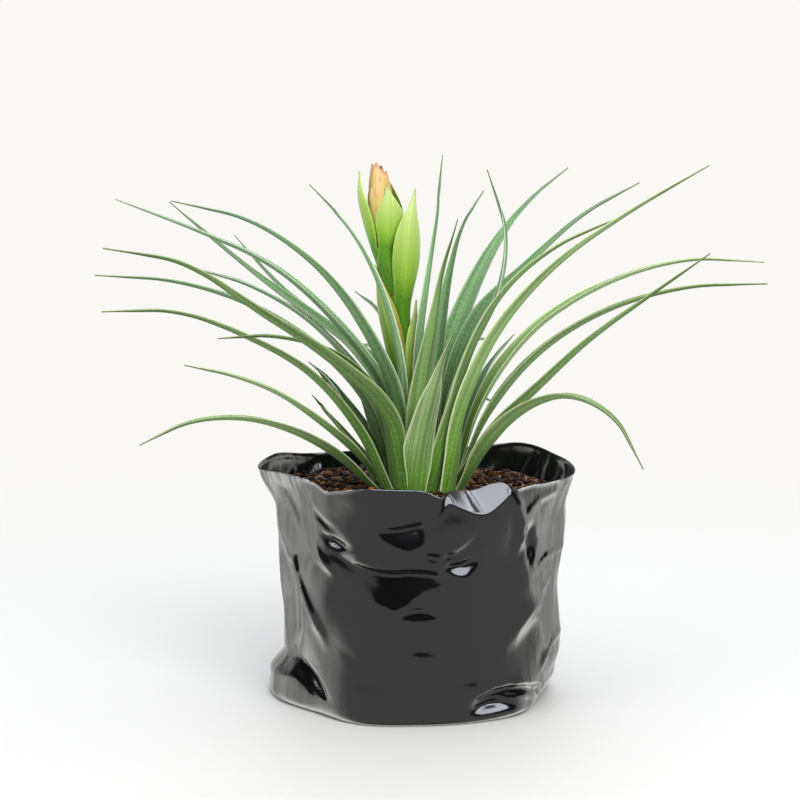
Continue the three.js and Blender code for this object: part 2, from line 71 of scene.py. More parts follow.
def addNode(tree, kind, links=None, settings=None, ramp=None):
    node = tree.nodes.new("ShaderNode" + kind)
    for name, value in (settings or {}).items():
        setattr(node, name, value)
    fillSockets(tree, node, links or {})
    if ramp:
        stops = node.color_ramp.elements
        while len(stops) < len(ramp):
            stops.new(0.5)
        for stop, (place, colour) in zip(stops, ramp):
            stop.position = place
            stop.color = linearColour(colour)
    return node


def newMaterial(name):
    material = bpy.data.materials.new(name)
    material.use_nodes = True
    tree = material.node_tree
    tree.nodes.clear()
    shader = addNode(tree, "BsdfPrincipled")
    addNode(tree, "OutputMaterial", {"Surface": shader})
    return material, tree, shader


def mottledMaterial(name, look):
    # one noise gives both the colour and the relief; "cells" is how many lie in a metre along x, y and z
    material, tree, shader = newMaterial(name)
    place = addNode(tree, "TexCoord").outputs["Object"]
    scaled = addNode(tree, "Mapping", {"Vector": place, "Scale": look["cells"]})
    noise = addNode(tree, "TexNoise", {"Vector": scaled, "Scale": 1.0, "Detail": look["detail"]})
    colour = addNode(tree, "ValToRGB", {"Fac": noise}, ramp=look["ramp"])
    relief = addNode(tree, "Bump", {
        "Strength": look["relief"], "Distance": look["reliefDepth"], "Height": noise})
    fillSockets(tree, shader, {"Base Color": colour, "Normal": relief, "Roughness": look["roughness"]})
    return material


def selectOnly(piece):
    if bpy.context.object and bpy.context.object.mode != "OBJECT":
        bpy.ops.object.mode_set(mode="OBJECT")
    bpy.ops.object.select_all(action="DESELECT")
    piece.select_set(True)
    bpy.context.view_layer.objects.active = piece


def applyModifier(piece, kind, **settings):
    selectOnly(piece)
    modifier = piece.modifiers.new(kind.lower(), kind)
    for name, value in settings.items():
        setattr(modifier, name, value)
    bpy.ops.object.modifier_apply(modifier=modifier.name)


def editMesh(piece, *steps):
    selectOnly(piece)
    bpy.ops.object.mode_set(mode="EDIT")
    bpy.ops.mesh.select_all(action="SELECT")
    for step in steps:
        step()
    bpy.ops.object.mode_set(mode="OBJECT")


def cornersOf(piece):
    flat = np.empty(len(piece.data.vertices) * 3)
    piece.data.vertices.foreach_get("co", flat)
    return flat.reshape(-1, 3)


def moveCorners(piece, corners):
    piece.data.vertices.foreach_set("co", np.asarray(corners, float).ravel())
    piece.data.update()


def addValues(piece, name, values):
    attribute = piece.data.attributes.new(name, "FLOAT", "POINT")
    attribute.data.foreach_set("value", np.asarray(values, float))


def copyOf(blank, name):
    piece = blank.copy()
    piece.data = blank.data.copy()
    piece.name = piece.data.name = name
    bpy.context.scene.collection.objects.link(piece)
    return piece


def finishPiece(piece, material, replaced=()):
    piece.data.materials.clear()
    piece.data.materials.append(material)
    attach(piece, "root")
    if replaced:
        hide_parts(*replaced)


def smoothThrough(rows, shares):
    rows = np.asarray(rows, float)
    padded = np.vstack([2 * rows[0] - rows[1], rows, 2 * rows[-1] - rows[-2]])
    at = np.clip(shares, 0, 1) * (len(rows) - 1)
    k = np.minimum(at.astype(int), len(rows) - 2)
    f = (at - k)[:, None]
    a, b, c, d = padded[k], padded[k + 1], padded[k + 2], padded[k + 3]
    bent = (2 * a - 5 * b + 4 * c - d) * f ** 2 + (3 * b - a - 3 * c + d) * f ** 3
    return 0.5 * (2 * b + (c - a) * f + bent)


def unitRows(rows):
    return rows / np.maximum(np.linalg.norm(rows, axis=1), 1e-12)[:, None]


def squareTo(rows, axis):
    return rows - axis * np.sum(rows * axis, axis=1)[:, None]


def easeStep(x):
    x = np.clip(x, 0, 1)
    return x * x * (3 - 2 * x)


# Blades: leaves, bracts and petals
# faces across and along; thickness at the midrib and margin; foot: length below the crown; wider: than the
# plain solid; sharp: how tightly the midrib is folded, small is tight; tipNarrows: share of the length
leafShape = {
    "across": 17, "along": 140, "thickness": 0.62, "margin": 0.24, "foot": 4.0, "footWidth": 1.0,
    "footIn": 0.0, "wider": 1.34, "sharp": 0.12, "tipNarrows": 0.12, "tipWidth": 0.42, "ripple": 0.16,
    "outerThin": 0.36,
}
bractShape = {
    "across": 25, "along": 60, "thickness": 0.7, "margin": 0.25, "foot": 1.0, "footWidth": 1.0,
    "footIn": 0.0, "wider": 1.04, "sharp": 1.0, "tipNarrows": 0.32, "tipWidth": 0.55, "ripple": 0.12,
}
petalShape = {
    "across": 15, "along": 40, "thickness": 0.5, "margin": 0.2, "foot": 0.6, "footWidth": 0.9,
    "footIn": 0.3, "wider": 1.0, "sharp": 1.2, "tipNarrows": 0.1, "tipWidth": 0.8, "ripple": 0.35,
}


def mergedRings(nodeName, perRing, away):
    mesh = bmesh.new()
    mesh.from_mesh(nodes[nodeName].data)
    bmesh.ops.remove_doubles(mesh, verts=mesh.verts, dist=1e-6)
    mesh.verts.ensure_lookup_table()
    places = [v.co.copy() for v in mesh.verts]
    near = [[e.other_vert(v).index for e in v.link_edges] for v in mesh.verts]
    mesh.free()
    tip = max(range(len(places)), key=lambda i: (places[i] - away).length)
    ring = sorted(range(len(places)), key=lambda i: (places[i] - places[tip]).length)[:perRing]
    seen, rings = set(ring), [ring]
    while len(rings[-1]) == perRing:
        following = sorted({j for i in rings[-1] for j in near[i]} - seen)
        if len(following) != perRing:
            break
        seen.update(following)
        rings.append(following)
    return [np.array([places[i] for i in r]) / mm for r in reversed(rings)]


def sectionsOf(nodeName, perRing, away):
    rings = mergedRings(nodeName, perRing, away)
    centres = np.array([r.mean(0) for r in rings])
    rows, side, up = [], None, None
    for i, ring in enumerate(rings):
        tangent = centres[min(i + 1, len(rings) - 1)] - centres[max(i - 1, 0)]
        tangent /= np.linalg.norm(tangent)
        spread = ring - centres[i]
        if i < len(rings) - 1:
            found = np.linalg.svd(spread)[2][0]
            side = found if side is None or found @ side > 0 else -found
        side = side - tangent * (side @ tangent)
        side /= np.linalg.norm(side)
        across = spread @ side
        half = np.abs(across).max()
        order = np.argsort(np.abs(across))
        outer, inner = order[-4:], order[:2]
        if i < len(rings) - 1:
            up = ring[outer].mean(0) - ring[inner].mean(0)
        up = up - tangent * (up @ tangent) - side * (up @ side)
        up /= np.linalg.norm(up)
        rise = max(0.0, (ring[outer].mean(0) - ring[inner].mean(0)) @ up)
        rows.append(np.concatenate([ring[inner].mean(0), side, up, [half, rise]]))
    return np.array(rows)


def newGrid(name, across, along):
    bpy.ops.object.select_all(action="DESELECT")
    bpy.ops.mesh.primitive_grid_add(x_subdivisions=across, y_subdivisions=along, size=2)
    grid = bpy.context.object
    grid.name = grid.data.name = name
    return grid


def bladeBlank(name, shape):
    blank = newGrid(name, shape["across"], shape["along"])
    applyModifier(blank, "SOLIDIFY", thickness=0.2, offset=-1)
    return blank


def layBlade(piece, rows, shape, seed=0):
    corners = cornersOf(piece)
    across, share, under = corners[:, 0], (corners[:, 1] + 1) / 2, corners[:, 2] < -0.1
    length = np.linalg.norm(np.diff(rows[:, :3], axis=0), axis=1).sum()
    footShare = shape["foot"] / (shape["foot"] + length)
    along = np.clip((share - footShare) / (1 - footShare), 0, 1)
    below = np.clip(1 - share / footShare, 0, 1)
    at = smoothThrough(rows, along)
    step = 0.004
    ahead = smoothThrough(rows, np.minimum(along + step, 1))
    ahead = ahead - smoothThrough(rows, np.maximum(along - step, 0))
    tangent = unitRows(ahead[:, :3])
    side = unitRows(squareTo(at[:, 3:6], tangent))
    up = unitRows(squareTo(squareTo(at[:, 6:9], tangent), side))
    thin = 1 - (1 - shape["tipWidth"]) * easeStep((along - 1 + shape["tipNarrows"]) / shape["tipNarrows"])
    wider = 1 + (shape["wider"] - 1) * (0.8 + 0.2 * easeStep(along / 0.15)) * easeStep((1 - along) / 0.45)
    shoulders = 1 + shape.get("shoulders", 0) * easeStep((along - 0.3) / 0.35) * easeStep((1 - along) / 0.1)
    outer = 1 - shape.get("outerThin", 0) * easeStep((along - 0.45) / 0.45)
    half = at[:, 9] * thin * wider * outer * shoulders * (1 + (shape["footWidth"] - 1) * easeStep(below))
    sharp = shape["sharp"]
    bent = (np.sqrt(across ** 2 + sharp ** 2) - sharp) / (math.sqrt(1 + sharp ** 2) - sharp)
    chance = random.Random(seed)
    wave = sum(np.sin(along * chance.uniform(9, 30) + chance.uniform(0, 6.28)) for _ in range(3)) / 3
    lift = np.maximum(at[:, 10], 0) * thin * bent + shape["ripple"] * wave * np.abs(across) * across
    lift += shape["footIn"] * below ** 2
    depth = shape["margin"] + (shape["thickness"] - shape["margin"]) * (1 - across ** 2)
    lift = lift - np.where(under, depth * (0.35 + 0.65 * thin), 0)
    place = at[:, :3] + side * (half * across)[:, None] + up * lift[:, None]
    place -= tangent * (below * shape["foot"])[:, None]
    moveCorners(piece, place * mm)
    addValues(piece, "alongShare", along)
    addValues(piece, "acrossShare", across)
    # the UV map is the blade laid flat, one unit for 100 mm
    flat = np.stack([across * half, along * length], axis=1) * 0.01
    corner = np.empty(len(piece.data.loops), int)
    piece.data.loops.foreach_get("vertex_index", corner)
    piece.data.uv_layers[0].data.foreach_set("uv", flat[corner].ravel())


def closeBlade(piece, tone):
    addValues(piece, "bladeTone", np.full(len(piece.data.vertices), tone))
    editMesh(piece, lambda: bpy.ops.mesh.normals_make_consistent(inside=False))
    bpy.ops.object.shade_smooth_by_angle(angle=math.radians(50))


def bladeMaterial(name, alongRamp, look):
    material, tree, shader = newMaterial(name)
    along = addNode(tree, "Attribute", settings={"attribute_name": "alongShare"}).outputs["Fac"]
    across = addNode(tree, "Attribute", settings={"attribute_name": "acrossShare"}).outputs["Fac"]
    tone = addNode(tree, "Attribute", settings={"attribute_name": "bladeTone"}).outputs["Fac"]
    flat = addNode(tree, "UVMap")
    base = addNode(tree, "ValToRGB", {"Fac": along}, ramp=alongRamp)
    distance = addNode(tree, "Math", {0: across}, {"operation": "ABSOLUTE"})
    # veins: streaks along the blade, veinSpacing millimetres apart
    streakScale = (100 / look["veinSpacing"], 0.7, 1)
    streakPlace = addNode(tree, "Mapping", {"Vector": flat, "Scale": streakScale})
    streaks = addNode(tree, "TexNoise", {"Vector": streakPlace, "Scale": 1.0, "Detail": 1.5})
    veinRange = addNode(tree, "MapRange", {0: streaks, 1: 0.42, 2: 0.58})
    vein = addNode(tree, "Mix", {0: look["veins"], 6: base, 7: (0.5, 0.5, 0.5, 1)}, multiplyColours)
    light = addNode(tree, "Mix", {0: veinRange, 6: vein, 7: base}, mixColours)
    # a pale margin, painted shade that darkens the channel along the middle, and each blade's own tone
    marginFrom = look.get("marginFrom", 0.84)
    edge = addNode(tree, "MapRange", {0: distance, 1: marginFrom, 2: 0.97, 4: look["marginPale"]})
    pale = addNode(tree, "Mix", {0: edge, 6: light, 7: look["marginColour"]}, mixColours)
    # painted shade: the blade is darkened towards the middle, where the channel lies
    middle = addNode(tree, "MapRange", {0: distance, 1: 0.42, 2: 0.0, 4: look["channelShade"]})
    channel = addNode(tree, "Mix", {0: middle, 6: pale, 7: look["channelShadeColour"]}, mixColours)
    shade = addNode(tree, "Mix", {0: tone, 6: channel, 7: look["toneColour"]}, multiplyColours)
    # silver scales, 0.1 mm across on a real leaf, drawn as blotches of 0.6 by 1.4 mm so that they show; they
    # fade towards the tip, as the veins' relief does
    scalePlace = addNode(tree, "Mapping", {"Vector": flat, "Scale": (160, 70, 1)})
    scales = addNode(tree, "TexNoise", {"Vector": scalePlace, "Scale": 1.0, "Detail": 2.0})
    scaleRange = addNode(tree, "MapRange", {0: scales, 1: 0.45, 2: 0.75, 4: look["scales"]})
    inner = addNode(tree, "MapRange", {0: along, 1: 0.75, 2: 0.4})
    scaleRange = addNode(tree, "Math", {0: scaleRange, 1: inner}, {"operation": "MULTIPLY"})
    silver = addNode(tree, "Mix", {0: scaleRange, 6: shade, 7: look["scaleColour"]}, mixColours)
    strength = addNode(tree, "MapRange", {0: along, 1: 0.8, 2: 0.45, 4: look["relief"]})
    relief = addNode(tree, "Bump", {"Strength": strength, "Distance": 0.0002, "Height": streaks})
    fillSockets(tree, shader, {
        "Base Color": silver, "Normal": relief, "Roughness": look["roughness"], "IOR": 1.42,
        "Specular IOR Level": look.get("gloss", 0.3), "Sheen Weight": look["sheen"], "Sheen Roughness": 0.5,
        "Sheen Tint": "#dfe8df"})
    if "glow" in look:
        fillSockets(tree, shader, {"Subsurface Weight": look["glow"], "Subsurface Radius": (0.4, 0.8, 0.15),
                                   "Subsurface Scale": 0.0015})
    return material


leafLook = {
    "frontRamp": [(0.0, "#4a7410"), (0.1, "#64922c"), (0.3, "#8bac68"), (0.65, "#90aa76"), (0.88, "#80946a"),
                  (0.96, "#7c7c5c"), (1.0, "#6e5e4a")],
    "backRamp": [(0.0, "#427016"), (0.1, "#568630"), (0.3, "#729863"), (0.65, "#7da078"), (0.88, "#789578"),
                 (0.96, "#70755a"), (1.0, "#6a5e4c")],
    # leaves with a width of their own, and how much broader they stay towards the tip
    "ownWidths": {4: (1.45, 0), 5: (1.7, 0.1), 8: (1.4, 0.4), 12: (1.1, 0), 13: (1.0, 0), 27: (1.3, 0.2)},
    # leaves whose upper side is seen
    "front": [1, 2, 3, 4, 5, 15, 20, 21, 23, 24, 25, 26, 27, 28, 29],
}
# Leaf blade, upper side: living tissue that grew folded into a channel, waxy with very fine scales. It gives
# a soft green satin, streaked along the blade, darker in the channel with painted shade and pale at the
# margin.
# The veins, about 0.5 mm apart on a real leaf, are drawn 1.1 mm apart so that they show.
leafFront = bladeMaterial("channelledLeafSatin", leafLook["frontRamp"], {
    "veinSpacing": 1.1, "veins": 0.8, "marginPale": 0.75, "marginColour": "#d2dfb4", "channelShade": 0.45,
    "channelShadeColour": "#57843a", "toneColour": "#a3b58c", "scales": 0.14, "scaleColour": "#c9d8bc",
    "relief": 0.35, "roughness": 0.42, "sheen": 0.14, "gloss": 0.05})
# Leaf blade, under side: the same tissue with more silver scales, so it is greyer, bluer and a bit more matt.
# Its channel too is darkened with painted shade.
leafBack = bladeMaterial("scaledLeafSatin", leafLook["backRamp"], {
    "veinSpacing": 1.1, "veins": 0.75, "marginPale": 0.7, "marginColour": "#d2dfc4", "channelShade": 0.45,
    "channelShadeColour": "#5c8a52", "toneColour": "#9cb090", "scales": 0.18, "scaleColour": "#d0dec8",
    "relief": 0.3, "roughness": 0.45, "sheen": 0.17, "gloss": 0.05})

crown = Vector((1.5, 0, 90)) * mm
leafBlank = bladeBlank("leafBlank", leafShape)
leafNames = sorted(n for n in nodes if n.startswith("leaf_"))
for leafName in leafNames:
    number = int(leafName[-2:])
    rows = sectionsOf(leafName, 6, crown)
    leaf = copyOf(leafBlank, "leafBlade%02d" % number)
    wider, shoulders = leafLook["ownWidths"].get(number, (leafShape["wider"], 0))
    layBlade(leaf, rows, {**leafShape, "wider": wider, "shoulders": shoulders}, number)
    closeBlade(leaf, random.Random(100 + number).uniform(0, 0.75))
    front = number in leafLook["front"]
    finishPiece(leaf, leafFront if front else leafBack, [leafName])
bpy.data.objects.remove(leafBlank)
print("leaves:", len(leafNames))

bractLook = {
    "ramp": [(0.0, "#3a720a"), (0.25, "#4f8610"), (0.42, "#80a82c"), (0.7, "#9eb85e"), (0.95, "#aec080"),
             (1.0, "#98a662")],
    # name, how much wider than the plain solid, length of the sheath round the stalk
    "bracts": [("bract_right", 0.84, 14), ("bract_bud_front", 1.0, 14), ("bract_bud_back", 1.0, 5),
               ("bract_bud_left", 1.45, 18), ("bract_stalk_left", 1.5, 16), ("bract_stalk_right", 1.7, 16)],
    # centre line of the stalk with its radius
    "stalk": [(-0.5, 0, 93.2, 2.5), (-3.6, 0, 120, 2.4), (-5.5, 0, 147, 2.3), (-7.6, 0, 166, 2.2),
              (-10.8, 0, 180, 2.4), (-13.4, 0, 189, 3.8)],
    "stalkThicker": 1.5,
}


def stalkAt(height):
    path = np.array(bractLook["stalk"], float)
    return np.array([np.interp(height, path[:, 2], path[:, k]) for k in range(4)])


def sheathRows(rows, length):
    # the foot of a bract wraps the stalk under it
    up = rows[0][6:9] * (1, 1, 0)
    up /= np.linalg.norm(up)
    side = np.array([up[1], -up[0], 0.0])
    side *= 1 if side @ rows[0][3:6] > 0 else -1
    added = []
    for share in (1.0, 0.45):
        x, y, z, radius = stalkAt(rows[0][2] - share * length)
        radius = radius * bractLook["stalkThicker"] + 0.5
        centre = np.array([x, y, rows[0][2] - share * length]) - up * radius
        added.append(np.concatenate([centre, side, up, [radius + 0.3, radius]]))
    return np.vstack([added, rows])


# Bract: a young, firm leaf under a thin wax. Smooth lime green that the light shines through a little, with
# faint veins about 0.9 mm apart.
bractLime = bladeMaterial("waxyBract", bractLook["ramp"], {
    "veinSpacing": 0.9, "veins": 0.22, "marginPale": 0.25, "marginColour": "#c3df72", "channelShade": 0.0,
    "channelShadeColour": "#7aa42a", "toneColour": "#b8c89a", "scales": 0.1, "scaleColour": "#d6e8a0",
    "relief": 0.2, "roughness": 0.36, "sheen": 0.05, "glow": 0.15})
# The lowest bract is older: the same, with a margin that has dried to dull straw brown.
# Unlike the other bracts, its channel is darkened with painted shade.
bractDry = bladeMaterial("driedEdgeBract", bractLook["ramp"], {
    "veinSpacing": 0.9, "veins": 0.4, "marginPale": 0.85, "marginColour": "#98803a", "marginFrom": 0.72,
    "channelShade": 0.3, "channelShadeColour": "#5f9a1c", "toneColour": "#b8c89a", "scales": 0.1,
    "scaleColour": "#d6e8a0", "relief": 0.2, "roughness": 0.4, "sheen": 0.05, "glow": 0.1})
bractBlank = bladeBlank("bractBlank", bractShape)
for bractName, wider, sheath in bractLook["bracts"]:
    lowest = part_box(bractName)[0]
    rows = sectionsOf(bractName, 10, Vector((-8 * mm, 0, lowest.z - 0.03)))
    rows[:, 9] *= wider
    rows = sheathRows(rows, sheath)
    bract = copyOf(bractBlank, "bractBlade_" + bractName[6:])
    layBlade(bract, rows, bractShape, len(bractName))
    closeBlade(bract, 0)
    finishPiece(bract, bractDry if bractName == "bract_stalk_left" else bractLime, [bractName])
bpy.data.objects.remove(bractBlank)
print("bracts done")

bud = {
    "foot": (-14, 0, 189.4), "lean": (-2.4, 0, 37.4), "petalWidth": 7.6,
    # azimuth, distance out, length, flare
    "petals": [(245, 3.1, 1.0, 0.5), (305, 3.1, 0.93, 0.8), (5, 3.3, 0.91, 1.3), (65, 3.1, 0.97, 0.8),
               (125, 3.1, 0.94, 0.6), (185, 3.2, 0.99, 0.9), (275, 4.0, 0.84, 1.0), (40, 4.0, 0.80, 1.2),
               (155, 4.0, 0.82, 0.8), (215, 4.0, 0.78, 0.9)],
    "ramp": [(0.0, "#7a7a20"), (0.3, "#a79a46"), (0.65, "#c6b46c"), (0.9, "#d2b282"), (1.0, "#b8845e")],
}


def outwardOf(azimuth):
    return np.array([math.cos(math.radians(azimuth)), math.sin(math.radians(azimuth)), 0.0])


def petalRows(azimuth, out, length, flare):
    foot, lean = np.array(bud["foot"], float), np.array(bud["lean"], float)
    spread = [0.6, 1.15, 1.35, 1.2 + 0.1 * flare, 0.5 + 0.3 * flare]
    points = np.array([foot + lean * (0.04 + 0.96 * length * i / 4) + outwardOf(azimuth) * out * s
                       for i, s in enumerate(spread)])
    shares = np.linspace(0, 1, 9)
    centres = smoothThrough(points, shares)
    rows = []
    for share, centre in zip(shares, centres):
        # widest at its middle, round at its tip
        if share < 0.5:
            swell = 0.62 + 0.38 * easeStep(share / 0.5)
        else:
            swell = max(0.2, math.cos((share - 0.5) * math.pi) ** 0.55)
        half = bud["petalWidth"] * swell / 2
        rows.append(np.concatenate([
            centre, outwardOf(azimuth + 90), -outwardOf(azimuth), [half, 0.52 * half]]))
    return np.array(rows)


# Petal: thin papery tissue grown in tight layers. Matt tan with ribs 0.6 mm apart, pinkish where the edge
# is thin, and slightly lit through. Its middle is darkened with painted shade.
petalTan = bladeMaterial("paperyPetal", bud["ramp"], {
    "veinSpacing": 0.6, "veins": 0.4, "marginPale": 0.6, "marginColour": "#dca284", "channelShade": 0.3,
    "channelShadeColour": "#c8a04e", "toneColour": "#d4bc94", "scales": 0.1, "scaleColour": "#ecd8b0",
    "relief": 0.4, "roughness": 0.5, "sheen": 0.1, "glow": 0.15})
petalBlank = bladeBlank("petalBlank", petalShape)
for k, petal in enumerate(bud["petals"]):
    piece = copyOf(petalBlank, "petal%02d" % (k + 1))
    layBlade(piece, petalRows(*petal), petalShape, 50 + k)
    closeBlade(piece, (k * 0.37) % 1 * 0.8)
    finishPiece(piece, petalTan, ["flower_bud"])
bpy.data.objects.remove(petalBlank)
print("bud done")


# Stalk and stem
def mergedCopy(nodeName, name):
    piece = copyOf(nodes[nodeName], name)
    piece.parent = None
    for key in list(piece.keys()):
        del piece[key]
    editMesh(piece, lambda: bpy.ops.mesh.remove_doubles(threshold=1e-6))
    return piece


# The stalk: living green tissue under a thin wax. Its fine ribs, about 1 mm apart, run up it and give it a
# soft, streaky shine.
stalkLook = {
    "cells": (900, 900, 40), "detail": 2.0, "ramp": [(0.3, "#6a9422"), (0.5, "#83ae34"), (0.75, "#9cc24c")],
    "relief": 0.3, "reliefDepth": 0.0002, "roughness": 0.4,
    # from this height down, over so many millimetres, the skin takes its full thickness
    "thickerBelow": 184, "thickerOver": 10,
}
stalkGreen = mottledMaterial("waxyStalk", stalkLook)
stalk = mergedCopy("flower_stalk", "flowerStalkSkin")
corners = cornersOf(stalk)
axis = np.array([stalkAt(z / mm)[:2] for z in corners[:, 2]]) * mm
fullness = easeStep((stalkLook["thickerBelow"] - corners[:, 2:] / mm) / stalkLook["thickerOver"])
thicker = 1 + (bractLook["stalkThicker"] - 1) * fullness
corners[:, :2] = axis + (corners[:, :2] - axis) * thicker
moveCorners(stalk, corners)
applyModifier(stalk, "SUBSURF", levels=2, render_levels=2)
bpy.ops.object.shade_smooth()
finishPiece(stalk, stalkGreen, ["flower_stalk"])

# The short stem: old plant tissue, corky where leaves have dropped, so it is matt and blotched every 2-3 mm.
stemLook = {
    "cells": (400, 400, 400), "detail": 4.0, "ramp": [(0.3, "#2c3a14"), (0.55, "#4a5e22"), (0.8, "#6a6a34")],
    "relief": 0.5, "reliefDepth": 0.0005, "roughness": 0.8,
}
stemGreen = mottledMaterial("oldStemTissue", stemLook)
nodes["plant_stem"].data.materials.clear()
nodes["plant_stem"].data.materials.append(stemGreen)
print("stalk done")


# Coco chips
coco = {
    "seed": 7, "chips": 1900, "models": 6, "size": (1.5, 5.2), "flatness": 0.4, "reach": 57.0, "hole": 18.0,
    # height of the mix, how far it banks up at the film, and the share by which the bed's side is drawn in
    # below a height
    "top": 86.5, "bank": 3.0, "drawnIn": 0.08, "drawnBelow": 84, "drawnOver": 6,
    # a dip at the folded flap: azimuth, half its angle, depth; and the sector where the bag is narrower
    "dip": (-65, 32, 4.0), "narrowSector": (195, 240), "narrowReach": 0.94,
    "colours": ["#22150a", "#331f0f", "#1a0e07", "#100905", "#4c341b", "#8a6638", "#28180c", "#3a2415"],
}
# Coco chips: husk chopped and dried, so each bit is matt, fibrous and its own brown. The fibres, 0.2 mm thick
# on real husk, are drawn as a 0.6 mm grain so that they show.
cocoChip, tree, shader = newMaterial("driedCocoChip")
tint = addNode(tree, "Attribute", settings={"attribute_name": "chipTint"}).outputs["Color"]
place = addNode(tree, "TexCoord").outputs["Object"]
grain = addNode(tree, "TexNoise", {"Vector": place, "Scale": 1800.0, "Detail": 3.0})
dark = addNode(tree, "Mix", {0: 1.0, 6: tint, 7: (0.35, 0.3, 0.28, 1)}, multiplyColours)
mixed = addNode(tree, "Mix", {0: grain, 6: dark, 7: tint}, mixColours)
relief = addNode(tree, "Bump", {"Strength": 0.6, "Distance": 0.0003, "Height": grain})
fillSockets(tree, shader, {
    "Base Color": mixed, "Normal": relief, "Roughness": 0.9, "Specular IOR Level": 0.15})


def cocoTop(x, y):
    # the mix banks up a little at the film, more so at the left
    share = np.clip(np.hypot(x, y) / coco["reach"], 0, 1)
    dipAzimuth, dipHalf, dipDepth = coco["dip"]
    beside = abs(math.degrees(math.atan2(y, x)) - dipAzimuth) / dipHalf
    lower = dipDepth * easeStep((share - 0.3) * 2) * easeStep(1 - beside)
    bank = coco["bank"] * easeStep(share * 1.6) * (0.8 - 0.3 * x / max(math.hypot(x, y), 1e-6))
    return coco["top"] - lower + bank


chance = random.Random(coco["seed"])
chipModels = []
for k in range(coco["models"]):
    bpy.ops.object.select_all(action="DESELECT")
    bpy.ops.mesh.primitive_ico_sphere_add(subdivisions=1, radius=0.5)
    chip = bpy.context.object
    corners = cornersOf(chip)
    for c in corners:
        c *= chance.uniform(0.65, 1.2)
    corners *= (1.0, chance.uniform(0.35, 0.8), coco["flatness"])
    chipModels.append((corners, [tuple(p.vertices) for p in chip.data.polygons]))
    bpy.data.objects.remove(chip)

points, faces, tints = [], [], []
for k in range(coco["chips"]):
    angle = chance.uniform(0, 2 * math.pi)
    reach = math.sqrt(chance.uniform((coco["hole"] / coco["reach"]) ** 2, 1)) * coco["reach"]
    low, high = coco["narrowSector"]
    reach *= coco["narrowReach"] if math.radians(low) < angle < math.radians(high) else 1
    x, y = reach * math.cos(angle), reach * math.sin(angle)
    corners, rings = chipModels[k % len(chipModels)]
    size = chance.uniform(*coco["size"])
    # turned any way round and tipped by up to a quarter turn; a third draw keeps the chips where they are
    a, b, _ = (chance.uniform(0, 2 * math.pi) for _ in range(3))
    b *= 0.25
    turned = np.array([[math.cos(a), -math.sin(a), 0], [math.sin(a), math.cos(a), 0], [0, 0, 1]])
    tipped = np.array([[1, 0, 0], [0, math.cos(b), -math.sin(b)], [0, math.sin(b), math.cos(b)]])
    laid = corners @ (turned @ tipped).T * size + (x, y, float(cocoTop(x, y)) + chance.uniform(-0.6, 1.6))
    start = len(points)
    points.extend(laid * mm)
    faces.extend(tuple(start + i for i in f) for f in rings)
    tint = linearColour(coco["colours"][chance.randrange(len(coco["colours"]))])
    tints.extend([tint] * len(corners))
chipMesh = bpy.data.meshes.new("cocoChips")
chipMesh.from_pydata([tuple(p) for p in points], [], faces)
chips = bpy.data.objects.new("cocoChips", chipMesh)
bpy.context.scene.collection.objects.link(chips)
shades = chipMesh.attributes.new("chipTint", "FLOAT_COLOR", "POINT")
shades.data.foreach_set("color", np.array(tints, float).ravel())
finishPiece(chips, cocoChip)

# The bed under the chips: sifted coco fines, pressed down by watering, matt with 2 mm crumbs.
bedLook = {
    "cells": (500, 500, 500), "detail": 6.0, "ramp": [(0.3, "#1c0d08"), (0.5, "#40221a"), (0.7, "#6a4028")],
    "relief": 1.0, "reliefDepth": 0.001, "roughness": 0.95,
}
cocoFines = mottledMaterial("cocoFines", bedLook)
cocoBed = mergedCopy("potting_mix", "cocoBed")
corners = cornersOf(cocoBed)
sunk = easeStep((coco["drawnBelow"] - corners[:, 2] / mm) / coco["drawnOver"])
# the wall of the plain hole in its middle stays
sunk *= np.hypot(corners[:, 0], corners[:, 1]) > 0.03
corners[:, :2] *= (1 - coco["drawnIn"] * sunk)[:, None]
moveCorners(cocoBed, corners)
bpy.ops.object.shade_smooth_by_angle(angle=math.radians(50))
finishPiece(cocoBed, cocoFines, ["potting_mix"])
print("coco done")


